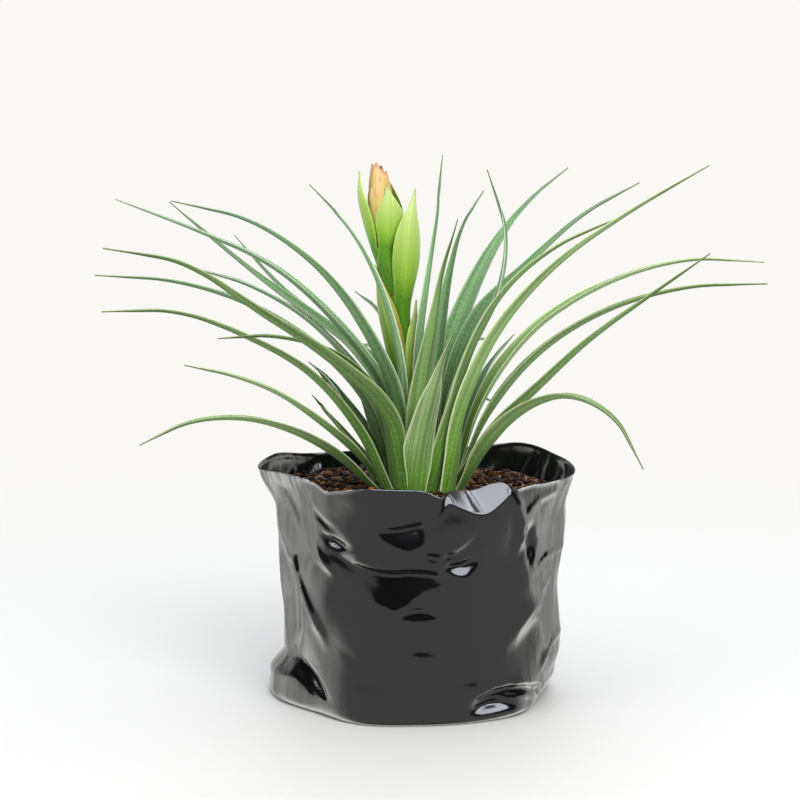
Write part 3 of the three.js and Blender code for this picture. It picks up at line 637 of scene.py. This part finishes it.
# Grow bag
bag = {
    "around": 384, "bottomRows": 6, "wallRows": 102, "marginRows": 10, "film": 0.3,
    # how much closer the columns lie at the front, in radians
    "frontShare": 0.5, "footRounding": 2.6, "footCentre": (9, 7), "margin": 8.0, "rimLip": 0.6,
    # height, then radius at each azimuth
    "azimuths": [22.5 * k for k in range(16)],
    "radii": {
        0: [56, 59, 61, 59, 57.5, 58, 61, 61.5, 64, 61.5, 59, 64, 62, 61.5, 61, 55],
        10: [60, 60.5, 61, 59.2, 58, 58.2, 61, 61.5, 63.5, 61, 59.5, 63.8, 62, 61.5, 62.8, 60],
        20: [61.5, 61, 61, 59.5, 58.5, 58.5, 61, 58.5, 57, 57, 59.5, 63, 61.5, 61, 61.5, 61.5],
        50: [61, 60, 60.5, 59, 60, 59, 61, 58.5, 58.5, 57.5, 61, 62.5, 61.5, 61.5, 61, 61.5],
        80: [63.5, 64.5, 65, 63.5, 62.5, 62.5, 63.5, 62, 61, 59, 60.5, 63.5, 64, 62.5, 61, 63.5],
    },
    # azimuth, radius, height of the rim, or of the fold line where the film is turned in
    "rim": [(0, 67.5, 96), (22, 68.5, 98), (46, 69, 101), (68, 68, 97.5), (90, 66, 96.5), (112, 66, 96),
            (135, 67.5, 96.5), (156, 66.5, 99.5), (167, 67.5, 98.5), (181, 67.5, 97), (203, 61.5, 98),
            (216, 60, 98), (227, 61, 97), (233, 62, 94.5), (238, 62.5, 95), (251, 65, 97), (264, 65, 97),
            (272, 64, 96.4), (278, 63.2, 93.5), (286, 62.4, 89.3), (292, 62.2, 86.6), (297, 62.2, 86.4),
            (302, 62, 89.4), (306, 61.5, 92), (310, 61, 94), (319, 60.5, 95), (332, 63, 95), (341, 66, 95.5),
            (352, 67, 95.5)],
    # where the film's margin is folded inward: azimuth, length, rise in degrees
    "flap": [(277, 0, 50), (281, 5, 42), (286, 10, 36), (292, 13.5, 36), (297, 13.5, 38), (302, 11, 40),
             (307, 7, 44), (312, 0, 50)],
}
# Creases of the film: shape, then points of azimuth, height, depth (negative stands out) and reach above and
# below the line. A facet is a plane below its line, a cusp falls off on both sides, flat takes out roundness.
folds = [
    # big facet under the middle crease, pointed below
    ("facet", [(234.5, 69.7, 0.6, 1, 2.4), (241.7, 67.2, 1.8, 1.1, 4.8), (249.9, 64.2, 3.3, 1.2, 8.6),
        (256.6, 62.8, 4.9, 1.2, 13), (261.8, 62.6, 5.6, 1.2, 15.5), (267, 63.1, 4.5, 1.2, 12),
        (273, 62.9, 2.9, 1.2, 8), (278.9, 62, 1.6, 1.1, 4.8), (284.6, 60.5, 0.3, 1, 1.5)]),
    # wedge dent, deepest at its right end
    ("facet", [(254.3, 81.2, 0.3, 1.1, 1.5), (258.8, 80.6, 1.5, 1.1, 5), (263.3, 80.9, 2.4, 1.1, 8.5),
        (267.8, 82, 3.2, 1.1, 11.5), (271.1, 83, 3.7, 1.1, 13), (272.4, 83.2, 0.4, 1.1, 9)]),
    # bright edge of the wedge
    ("cusp", [(272.2, 82, -0.3, 1.4, 1.4), (271.8, 77.5, -0.8, 1.5, 1.5), (271.1, 72.7, -0.8, 1.5, 1.5),
        (274.4, 70.2, -0.2, 1.4, 1.4)]),
    # hook
    ("facet", [(270, 71.9, 0.6, 1.1, 2.4), (274.4, 70.2, 1.9, 1.1, 4.6), (279.3, 69.7, 2.5, 1.1, 5.8),
        (284.2, 70.7, 2.7, 1.1, 6), (288.1, 73.1, 2.5, 1.1, 5.8), (291.3, 76, 1.9, 1.1, 4.6),
        (293.7, 79.9, 0.5, 1.1, 2.4)]),
    # light line under the hook
    ("cusp", [(273.3, 67.8, -0.2, 1.2, 1.2), (279.3, 66.8, -0.7, 1.4, 1.4), (285, 67.8, -0.7, 1.4, 1.4),
        (289.7, 70.4, -0.2, 1.2, 1.2)]),
    # bright pocket
    ("facet", [(279.7, 65.6, 0.6, 1.2, 2), (283.5, 65.5, 4, 1.3, 4), (287, 65.9, 4.8, 1.3, 4.6),
        (290.5, 67.9, 3.8, 1.3, 3.8), (293.8, 69.7, 0.6, 1.2, 1.6)]),
    # upper left double line
    ("cusp", [(218.3, 89.5, 0.2, 1.3, 1.3), (226, 85.1, 1.1, 1.6, 1.8), (233.1, 80.2, 1.5, 1.7, 2),
        (239.5, 75.6, 1.5, 1.7, 2), (244.7, 72, 0.3, 1.2, 1.4)]),
    # its second line
    ("cusp", [(228.1, 82.5, -0.2, 1.2, 1.2), (234.5, 77.9, -0.8, 1.3, 1.3), (240, 74, -0.8, 1.3, 1.3),
        (243.8, 71.9, -0.2, 1.2, 1.2)]),
    # bluish pocket under it
    ("facet", [(231.2, 76.7, 0.6, 1.2, 2), (235.5, 75.2, 3.8, 1.3, 4.6), (239.5, 73.3, 4, 1.3, 4.6),
        (244.2, 71.7, 0.6, 1.2, 1.6)]),
    # dark dash
    ("facet", [(234, 70.9, 0.4, 1.1, 1.4), (239.5, 69.6, 1.3, 1.1, 3), (243.8, 68.8, 1.1, 1.1, 2.6),
        (248.3, 68.6, 0.2, 1.1, 1.4)]),
    # left bright line
    ("cusp", [(192.8, 92, -0.4, 2, 2), (201.1, 86.5, -1.3, 2.4, 2.4), (207.4, 79.5, -1.2, 2.4, 2.4),
        (211.7, 73.1, -0.3, 2, 2)]),
    # ridge to the point
    ("cusp", [(222.5, 75.2, -0.3, 2, 3), (227, 70.4, -1.2, 2.4, 4), (231.6, 65.6, -1.7, 2.4, 5),
        (235.4, 61.6, -1.2, 2, 3)]),
    # dent left of the point
    ("facet", [(220.7, 69.1, 0.2, 1.2, 3), (225.3, 66, 0.5, 1.2, 6), (230.1, 63, 0.8, 1.2, 6),
        (234.9, 60.7, 0.4, 1.2, 2)]),
    # long lower left ridge
    ("cusp", [(206.2, 63.3, -0.6, 2.2, 2.2), (212.3, 57.2, -2, 2.6, 3), (218.6, 49.9, -2.7, 3, 3.4),
        (224, 43.3, -2.5, 3, 3.4), (228.9, 35.4, -1.3, 3, 3), (231.4, 28.7, -0.2, 2.4, 2.4)]),
    # bottom left pinch
    ("facet", [(201.1, 24.2, 1.2, 1.1, 5), (210.2, 22.4, 2.9, 1.1, 7), (217.7, 19, 3.9, 1.2, 8.5),
        (223.8, 15.2, 3.8, 1.2, 8.5), (229.3, 11.2, 2.5, 1.1, 6), (234.2, 7.4, 0.4, 1.1, 2)]),
    # light thread in the pinch
    ("cusp", [(211.8, 20.2, -0.3, 1, 1), (217, 16.3, -1.1, 1.2, 1.2), (220.8, 11.6, -1.2, 1.2, 1.2),
        (227.1, 8.2, -1, 1.2, 1.2), (232.8, 6.3, -0.2, 1, 1)]),
    # bottom right arch
    ("facet", [(290, 6.6, 0.6, 1.1, 2.5), (294.5, 10.3, 2.6, 1.1, 6.5), (300.5, 12.6, 3.9, 1.2, 9.5),
        (307.6, 13, 4.4, 1.2, 10.5), (316.2, 12, 4.4, 1.2, 10.5), (326.3, 9.4, 3.8, 1.2, 9),
        (335.6, 5.2, 2.2, 1.1, 5), (340.8, 1.6, 0.4, 1.1, 2)]),
    # bright pleat in the arch
    ("facet", [(290.8, 5.3, 0.6, 1.4, 1.8), (294.5, 6.5, 3.2, 1.6, 3.8), (299.7, 7.7, 3.6, 1.6, 4),
        (304.7, 7.6, 3, 1.6, 3.4), (309.2, 5.1, 0.5, 1.4, 1.4)]),
    # light thread in the arch
    ("cusp", [(302.8, 7.9, -0.3, 1, 1), (308.6, 8.6, -1.2, 1.3, 1.3), (316.3, 8, -1.3, 1.3, 1.3),
        (325.6, 5.7, -1.2, 1.3, 1.3), (335.6, 2.6, -0.3, 1, 1)]),
    # right crease, upper
    ("cusp", [(309, 93.1, -0.4, 3, 4), (312.2, 87, -1.8, 4, 5), (313.9, 80.6, -2.4, 4, 6),
        (315.1, 74.3, -2.2, 4, 6), (311.8, 68.1, -0.5, 3, 3)]),
    # dark hollow beside it
    ("facet", [(316.2, 79.9, 0.4, 2, 2), (319.8, 76.9, 2, 3, 4), (323.2, 71.8, 2.6, 3, 4),
        (321.9, 67.4, 2.2, 3, 4), (320, 63.5, 0.4, 2, 2)]),
    # right slit
    ("cusp", [(322.4, 80.3, 0.3, 1.4, 1.4), (321.5, 75.4, 1.8, 1.8, 1.8), (321.2, 70, 2, 1.8, 1.8),
        (320.3, 64.7, 1.6, 1.7, 1.7), (319.1, 59.9, 0.3, 1.2, 1.2)]),
    # right bright lines
    ("cusp", [(324, 67.1, -0.3, 1.4, 1.4), (323, 62.6, -1.2, 1.7, 1.7), (322, 58.2, -0.3, 1.3, 1.3)]),
    # right bright slant
    ("cusp", [(322.7, 56.8, -0.3, 2, 2), (327.1, 60.7, -1.4, 2.8, 2.6), (334.3, 63.6, -1.6, 3, 2.8),
        (354.1, 64.9, -0.4, 2.4, 2.4)]),
    # upper right slant
    ("cusp", [(311.7, 76.8, -0.2, 2, 2), (317.9, 83.8, -1.2, 3, 3), (325.9, 88.9, -1.2, 3, 3),
        (339.7, 91, -0.3, 2, 2)]),
    # lower right long ridge
    ("cusp", [(340.7, 56.4, -0.3, 4, 4), (328.9, 49.4, -1.6, 7, 6), (318.3, 42.1, -2, 8, 7),
        (310.5, 35, -1.6, 8, 7), (304.1, 27.3, -0.2, 5, 5)]),
    # lower right sharp ridge
    ("cusp", [(355.3, 28.9, -0.3, 2.4, 2.4), (337.4, 26.7, -1.5, 3, 3), (330.3, 21.5, -1.9, 3, 3),
        (326.2, 14.3, -0.4, 2, 2)]),
    # oval
    ("facet", [(261.5, 44.4, 0.2, 1.1, 1.6), (265.2, 47, 1.3, 1.2, 4), (270, 47.9, 1.7, 1.2, 5),
        (274.5, 47.2, 1.2, 1.2, 4), (278.6, 45.3, 0.2, 1.1, 1.6)]),
    # small oval
    ("facet", [(265.2, 31, 0.1, 1.1, 1.6), (270, 31.9, 0.8, 1.1, 3.4), (275.2, 31.4, 0.7, 1.1, 3),
        (279, 29.7, 0.1, 1.1, 1.6)]),
    # faint left streak
    ("facet", [(239.8, 29.5, 0.1, 2, 2), (244.1, 27.1, 0.7, 3, 3), (248.2, 22.6, 0.1, 2, 2)]),
    # faint right streak
    ("facet", [(286.7, 17.3, 0.1, 2, 2), (291.1, 18.1, 0.7, 3, 3), (295.7, 18.4, 0.1, 2, 2)]),
    # side panels, drawn flat
    ("flat", [(200, 95, 2, 15, 15), (209, 80, 3, 18, 18), (215, 66, 2.6, 15, 15), (216, 59, 0.4, 8, 8)]),
    ("flat", [(194, 62, 1, 10, 10), (199, 47, 2.4, 16, 16), (203, 33, 2.4, 16, 16),
        (203, 24, 0.4, 12, 12)]),
    ("flat", [(246, 46, 0.8, 16, 16), (243, 30, 1.4, 20, 20), (246, 14, 0.8, 14, 14)]),
    ("flat", [(336, 94, 1.6, 17, 17), (334, 72, 2.6, 19, 19), (338, 46, 2.2, 17, 17),
        (340, 25, 0.4, 10, 10)]),
    # round the back
    ("facet", [(12, 86, 0.3, 6, 4), (18, 70, 3.2, 9, 8), (26, 50, 0.4, 6, 5)]),
    ("flat", [(30, 92, 1.4, 14, 14), (36, 60, 2.6, 18, 18), (32, 30, 0.5, 12, 12)]),
    ("facet", [(36, 36, 0.3, 5, 5), (50, 22, 3.4, 8, 8), (66, 8, 0.5, 5, 4)]),
    ("facet", [(56, 90, 0.4, 6, 5), (68, 72, 3.8, 9, 9), (82, 54, 0.5, 6, 5)]),
    ("facet", [(80, 62, 0.4, 6, 5), (92, 52, 2.8, 9, 8), (104, 47, 3.2, 9, 9), (124, 55, 0.4, 6, 5)]),
    ("flat", [(112, 90, 1.2, 14, 14), (118, 62, 2.4, 17, 17), (112, 34, 0.5, 12, 12)]),
    ("facet", [(130, 92, 0.4, 6, 5), (141, 74, 3.2, 9, 8), (152, 56, 0.4, 6, 5)]),
    ("facet", [(164, 46, 0.4, 6, 5), (150, 30, 3, 8, 8), (136, 12, 0.4, 5, 4)]),
    ("cusp", [(166, 92, -0.3, 4, 4), (172, 70, -1.5, 6, 6), (168, 44, -0.3, 5, 5)]),
    ("facet", [(92, 28, 0.3, 5, 4), (104, 19, 2.6, 8, 7), (116, 10, 0.3, 5, 4)]),
]
# millimetres in one degree of the bag's girth
arcMm = math.radians(1) * 62


def roundTable(azimuths, values, asked):
    # a smooth curve through a table that closes on itself, held within 0.6 of the values on both sides
    places = np.array(azimuths, float)
    longer = np.concatenate([places[-2:] - 360, places, places[:2] + 360])
    data = np.concatenate([values[-2:], values, values[:2]]).astype(float)
    asked = np.mod(asked, 360)
    k = np.clip(np.searchsorted(longer, asked, side="right") - 1, 1, len(longer) - 3)
    f = (asked - longer[k]) / (longer[k + 1] - longer[k])
    a, b, c, d = data[k - 1], data[k], data[k + 1], data[k + 2]
    slopeB = (c - a) / (longer[k + 1] - longer[k - 1]) * (longer[k + 1] - longer[k])
    slopeC = (d - b) / (longer[k + 2] - longer[k]) * (longer[k + 1] - longer[k])
    squared, cubed = 3 * (c - b) - 2 * slopeB - slopeC, slopeB + slopeC - 2 * (c - b)
    curve = b + slopeB * f + squared * f ** 2 + cubed * f ** 3
    return np.clip(curve, np.minimum(b, c) - 0.6, np.maximum(b, c) + 0.6)


def foldDepth(azimuth, height, shape, line):
    line = np.array(line, float)
    middle = line[:, 0].mean()
    x = (np.mod(azimuth - middle + 180, 360) - 180) * arcMm
    px, py = (line[:, 0] - middle) * arcMm, line[:, 1]
    lengths = np.hypot(np.diff(px), np.diff(py))
    best, signed, at = np.full(x.shape, 1e9), np.zeros(x.shape), np.zeros(x.shape)
    for i, length in enumerate(lengths):
        dx, dy = (px[i + 1] - px[i]) / length, (py[i + 1] - py[i]) / length
        t = np.clip((x - px[i]) * dx + (height - py[i]) * dy, 0, length)
        away = np.hypot(x - px[i] - t * dx, height - py[i] - t * dy)
        nearer = away < best
        best = np.where(nearer, away, best)
        signed = np.where(nearer, np.sign(dx * (height - py[i]) - dy * (x - px[i])), signed)
        at = np.where(nearer, i + t / length, at)
    if px[-1] < px[0]:
        signed = -signed
    stops = np.arange(len(line))
    depth = np.interp(at, stops, line[:, 2])
    above, below = np.interp(at, stops, line[:, 3]), np.interp(at, stops, line[:, 4])
    share = best / np.where(signed > 0, above, below)
    if shape == "flat":
        return depth * np.clip(1 - share ** 2, 0, 1)
    steep = np.clip(1 - share, 0, 1)
    if shape == "facet":
        return depth * np.where(signed > 0, steep ** 1.7, steep)
    return depth * steep ** 1.6


def crumple(azimuth, height):
    depth = np.zeros(azimuth.shape)
    for shape, line in folds:
        depth += foldDepth(azimuth, height, shape, line)
    chance = random.Random(31)
    # long low waves
    for _ in range(16):
        n, wave = chance.randint(2, 13), chance.uniform(28, 90)
        turn, size = chance.uniform(0, 6.28), 0.2 * chance.uniform(0.4, 1)
        way = chance.choice((-1, 1))
        depth += size * np.sin(np.radians(azimuth) * n + height / wave * 2 * math.pi * way + turn)
    # small creases, but none at the front, which has its own
    for _ in range(220):
        az, z = chance.uniform(0, 360), chance.uniform(4, 95)
        front = 0.5 + 0.5 * math.cos(math.radians(az - 268))
        lean, length = chance.gauss(90, 38), chance.uniform(8, 26)
        size, wide = chance.choice((-1, 1)) * chance.uniform(0.2, 0.8), chance.uniform(2.5, 6)
        if front > 0.3:
            continue
        dx, dz = math.cos(math.radians(lean)) * length / 2, math.sin(math.radians(lean)) * length / 2
        line = [(az - dx / arcMm, z - dz, 0, wide, wide), (az + 1, z, size, wide, wide),
                (az + dx / arcMm, z + dz, 0, wide, wide)]
        depth += foldDepth(azimuth, height, "cusp", line)
    return depth


def softened(values, columns, passes):
    grid = values.reshape(-1, columns)
    for _ in range(passes):
        ring = np.concatenate([grid[:, -2:-1], grid, grid[:, 1:2]], axis=1)
        grid = (ring[:, :-2] + 2 * ring[:, 1:-1] + ring[:, 2:]) / 4
        tall = np.concatenate([grid[:1], grid, grid[-1:]])
        grid = (tall[:-2] + 2 * tall[1:-1] + tall[2:]) / 4
    return grid.ravel()


def bagSheet(piece):
    corners = cornersOf(piece)
    rows = bag["bottomRows"] + bag["wallRows"] + bag["marginRows"]
    turn = np.radians((corners[:, 0] + 1) * 180)
    # columns lie closer together at the front, round azimuth 270
    azimuth = np.degrees(turn) + math.degrees(bag["frontShare"]) * np.cos(turn)
    row = np.rint((corners[:, 1] + 1) / 2 * rows)
    rim = np.array(bag["rim"], float)
    flap = np.array(bag["flap"], float)
    rimRadius = roundTable(rim[:, 0], rim[:, 1], azimuth)
    rimHeight = roundTable(rim[:, 0], rim[:, 2], azimuth)
    flapLength = np.interp(np.mod(azimuth, 360), flap[:, 0], flap[:, 1], left=0, right=0)
    flapSteep = np.interp(np.mod(azimuth, 360), flap[:, 0], flap[:, 2], left=60, right=60)
    turned = easeStep(flapLength / 6)
    foldHeight = rimHeight - bag["margin"] * (1 - turned)
    wallShare = np.clip((row - bag["bottomRows"]) / bag["wallRows"], 0, 1)
    marginShare = np.clip((row - bag["bottomRows"] - bag["wallRows"]) / bag["marginRows"], 0, 1)
    height = wallShare * foldHeight + marginShare * bag["margin"] * (1 - turned)
    levels = sorted(bag["radii"])
    radius = np.zeros(len(azimuth))
    table = np.stack([roundTable(bag["azimuths"], np.array(bag["radii"][k], float), azimuth) for k in levels]
                     + [rimRadius], axis=1)
    stops = np.stack([np.full(len(azimuth), float(k)) for k in levels] + [np.maximum(rimHeight, 84)], axis=1)
    for i in range(len(levels)):
        inside = (height >= stops[:, i]) if i else (height >= 0)
        f = easeStep((height - stops[:, i]) / (stops[:, i + 1] - stops[:, i]))
        radius = np.where(inside, table[:, i] + (table[:, i + 1] - table[:, i]) * f, radius)
    fade = easeStep(height / 5) * 0.8 + 0.2
    depth = softened(crumple(azimuth, height), bag["around"] + 1, 1) * fade
    depth *= 1 - 0.55 * easeStep((height - rimHeight + 7) / 7)
    low = np.clip(height / bag["footRounding"], 0, 1)
    radius = radius - depth - bag["footRounding"] * (1 - np.sqrt(1 - (1 - low) ** 2))
    # the turned-in margin runs inward and up from the fold line
    reach = marginShare * flapLength * turned
    radius = radius + bag["rimLip"] * easeStep((marginShare - 0.86) / 0.14) * (1 - turned)
    radius = radius - reach * np.cos(np.radians(flapSteep))
    height = height + reach * np.sin(np.radians(flapSteep))
    x, y = radius * np.cos(np.radians(azimuth)), radius * np.sin(np.radians(azimuth))
    bottom = np.clip(row / bag["bottomRows"], 0, 1)
    footX, footY = bag["footCentre"]
    x, y = footX + (x - footX) * bottom, footY + (y - footY) * bottom
    moveCorners(piece, np.stack([x, y, height], axis=1) * mm)


film = newGrid("growBagFilm", bag["around"], bag["bottomRows"] + bag["wallRows"] + bag["marginRows"])
bagSheet(film)
editMesh(film, lambda: bpy.ops.mesh.remove_doubles(threshold=2e-6),
         lambda: bpy.ops.mesh.normals_make_consistent(inside=False))
wall = [p for p in film.data.polygons if 0.03 < p.center.z < 0.07]
outward = sum(p.normal.x * p.center.x + p.normal.y * p.center.y > 0 for p in wall)
if outward < len(wall) / 2:
    editMesh(film, lambda: bpy.ops.mesh.flip_normals())
applyModifier(film, "SOLIDIFY", thickness=bag["film"] * mm, offset=-1)
bpy.ops.object.shade_smooth_by_angle(angle=math.radians(60))

# The bag: blown black polythene film, crumpled by hand. It gives sharp, wet-looking highlights on creases, a
# soft haze in patches, and lines drawn into the film 8 mm apart, which show at the sides.
blackFilm, tree, shader = newMaterial("blackPolytheneFilm")
place = addNode(tree, "TexCoord").outputs["Object"]
haze = addNode(tree, "TexNoise", {"Vector": place, "Scale": 45.0, "Detail": 5.0})
rough = addNode(tree, "MapRange", {0: haze, 1: 0.3, 2: 0.7, 3: 0.09, 4: 0.2})
wrinkles = addNode(tree, "TexNoise", {"Vector": place, "Scale": 160.0, "Detail": 3.0})
drawn = addNode(tree, "Mapping", {"Vector": place, "Rotation": (0.0, -0.35, 0.0), "Scale": (130, 130, 14)})
lines = addNode(tree, "TexNoise", {"Vector": drawn, "Scale": 1.0, "Detail": 2.0})
sideOnly = addNode(tree, "SeparateXYZ", {0: place})
sideOnly = addNode(tree, "Math", {0: sideOnly}, {"operation": "ABSOLUTE"})
sideOnly = addNode(tree, "MapRange", {0: sideOnly, 1: 0.03, 2: 0.055, 3: 0.05, 4: 0.8})
gentle = addNode(tree, "Bump", {"Strength": 0.25, "Distance": 0.0005, "Height": wrinkles})
relief = addNode(tree, "Bump", {"Strength": sideOnly, "Distance": 0.0009, "Height": lines, "Normal": gentle})
fillSockets(tree, shader, {"Base Color": "#0b0b0c", "Normal": relief, "Roughness": rough, "IOR": 1.52})
finishPiece(film, blackFilm, ["grow_bag"])
print("bag:", len(film.data.polygons), "faces")


# Camera, light and floor
besideEdges = [("skew", -0.25, 0.35), ("back", 0.75, 0.45)]
studio = {
    "camera": (-7.2, -850, 220), "pitch": 6.3, "lens": 90, "ambient": (0.6, 0.6, 0.588, 1),
    # What the film mirrors, each laid over the ones before: where, and its colour. A place is the product of
    # soft edges: a direction, where the edge starts and where it is full.
    "mirrorBase": "#f4f4f2",
    "mirrored": [
        # dark side behind the camera
        ([("up", 0.08, 0.2), ("back", 0.85, 0.35)], "#161618"),
        # painted shade: the floor close under the bag, drawn dark where the bag would shade it, as the film
        # mirrors it
        ([("up", -0.86, -0.97)], "#3c3c3b"),
        # bright panels left and right
        (besideEdges + [("up", 0.2, 0.06), ("up", -0.6, -0.25)], (2.3, 2.3, 2.231, 1)),
        # softbox overhead
        ([("up", 0.55, 0.65)], (9.215, 9.5, 10.45, 1)),
        # bright sweep under the panels
        (besideEdges + [("up", -0.2, -0.5), ("up", -0.92, -0.75)], (4.5, 4.5, 4.275, 1)),
    ],
    # name, place and target in metres, size, watts
    "lights": [("keySoftbox", (0.5, -1.15, 1.15), (0, 0, 0.13), (0.9, 0.9), 29),
               ("overheadSoftbox", (0.1, -0.1, 1.5), (0, 0, 0.1), (0.8, 0.8), 5),
               ("sideFill", (-1.2, -0.9, 0.6), (0, 0, 0.13), (0.8, 0.8), 8)],
    "backdrop": "#f9f8f4",
}
camera = bpy.data.objects.new("camera", bpy.data.cameras.new("camera"))
bpy.context.scene.collection.objects.link(camera)
camera.location = Vector(studio["camera"]) * mm
camera.rotation_euler = (math.radians(90 - studio["pitch"]), 0, 0)
camera.data.lens = studio["lens"]
camera.data.sensor_width = 36
camera.data.clip_start, camera.data.clip_end = 0.05, 100
bpy.context.scene.camera = camera

world = bpy.data.worlds.new("studioRoom")
bpy.context.scene.world = world
world.use_nodes = True
tree = world.node_tree
tree.nodes.clear()
direction = addNode(tree, "TexCoord").outputs["Generated"]
parts = addNode(tree, "SeparateXYZ", {0: direction}).outputs
skew = addNode(tree, "Math", {0: parts[0], 1: -0.17, 2: parts[1]}, {"operation": "MULTIPLY_ADD"})
towards = {"back": parts[1], "up": parts[2], "skew": skew}
smoothRange = {"interpolation_type": "SMOOTHSTEP"}
mirrored = studio["mirrorBase"]
for edges, colour in studio["mirrored"]:
    mask = None
    for name, start, full in edges:
        edge = addNode(tree, "MapRange", {0: towards[name], 1: start, 2: full}, smoothRange)
        if mask:
            edge = addNode(tree, "Math", {0: mask, 1: edge}, {"operation": "MULTIPLY"})
        mask = edge
    mirrored = addNode(tree, "Mix", {0: mask, 6: mirrored, 7: colour}, mixColours)
path = addNode(tree, "LightPath").outputs
room = addNode(tree, "Mix", {0: path["Is Glossy Ray"], 6: studio["ambient"], 7: mirrored}, mixColours)
shown = addNode(tree, "Mix", {0: path["Is Camera Ray"], 6: room, 7: studio["backdrop"]}, mixColours)
background = addNode(tree, "Background", {"Color": shown, "Strength": 1.0})
addNode(tree, "OutputWorld", {"Surface": background})

for name, at, target, size, watts in studio["lights"]:
    light = bpy.data.lights.new(name, "AREA")
    light.shape = "RECTANGLE"
    light.size, light.size_y = size
    light.energy = watts
    lamp = bpy.data.objects.new(name, light)
    bpy.context.scene.collection.objects.link(lamp)
    lamp.location = at
    lamp.rotation_euler = (Vector(target) - Vector(at)).to_track_quat("-Z", "Y").to_euler()
    lamp.visible_glossy = False

bpy.ops.object.select_all(action="DESELECT")
bpy.ops.mesh.primitive_circle_add(vertices=96, radius=6, fill_type="NGON", location=(0, 0, 0))
floor = bpy.context.object
floor.name = "floor"

# The floor: matt painted board, faintly mottled. It fades into the backdrop, so no horizon shows.
paleFloor, tree, shader = newMaterial("matteFloor")
place = addNode(tree, "TexCoord").outputs["Object"]
away = addNode(tree, "VectorMath", {0: place}, {"operation": "LENGTH"})
mottle = addNode(tree, "TexNoise", {"Vector": place, "Scale": 3.0, "Detail": 2.0})
tone = addNode(tree, "Mix", {0: mottle, 6: "#b0b0ad", 7: "#b4b4b1"}, mixColours)
fade = addNode(tree, "MapRange", {0: away.outputs["Value"], 1: 0.15, 2: 0.8}, smoothRange)
backdrop = addNode(tree, "Emission", {"Color": studio["backdrop"], "Strength": 1.0})
joined = addNode(tree, "MixShader", {0: fade, 1: shader, 2: backdrop})
fillSockets(tree, shader, {"Base Color": tone, "Roughness": 0.6})
fillSockets(tree, tree.nodes["Material Output"], {"Surface": joined})
floor.data.materials.append(paleFloor)
floor.visible_glossy = False
bpy.context.scene.view_settings.view_transform = "Standard"
print("studio done")
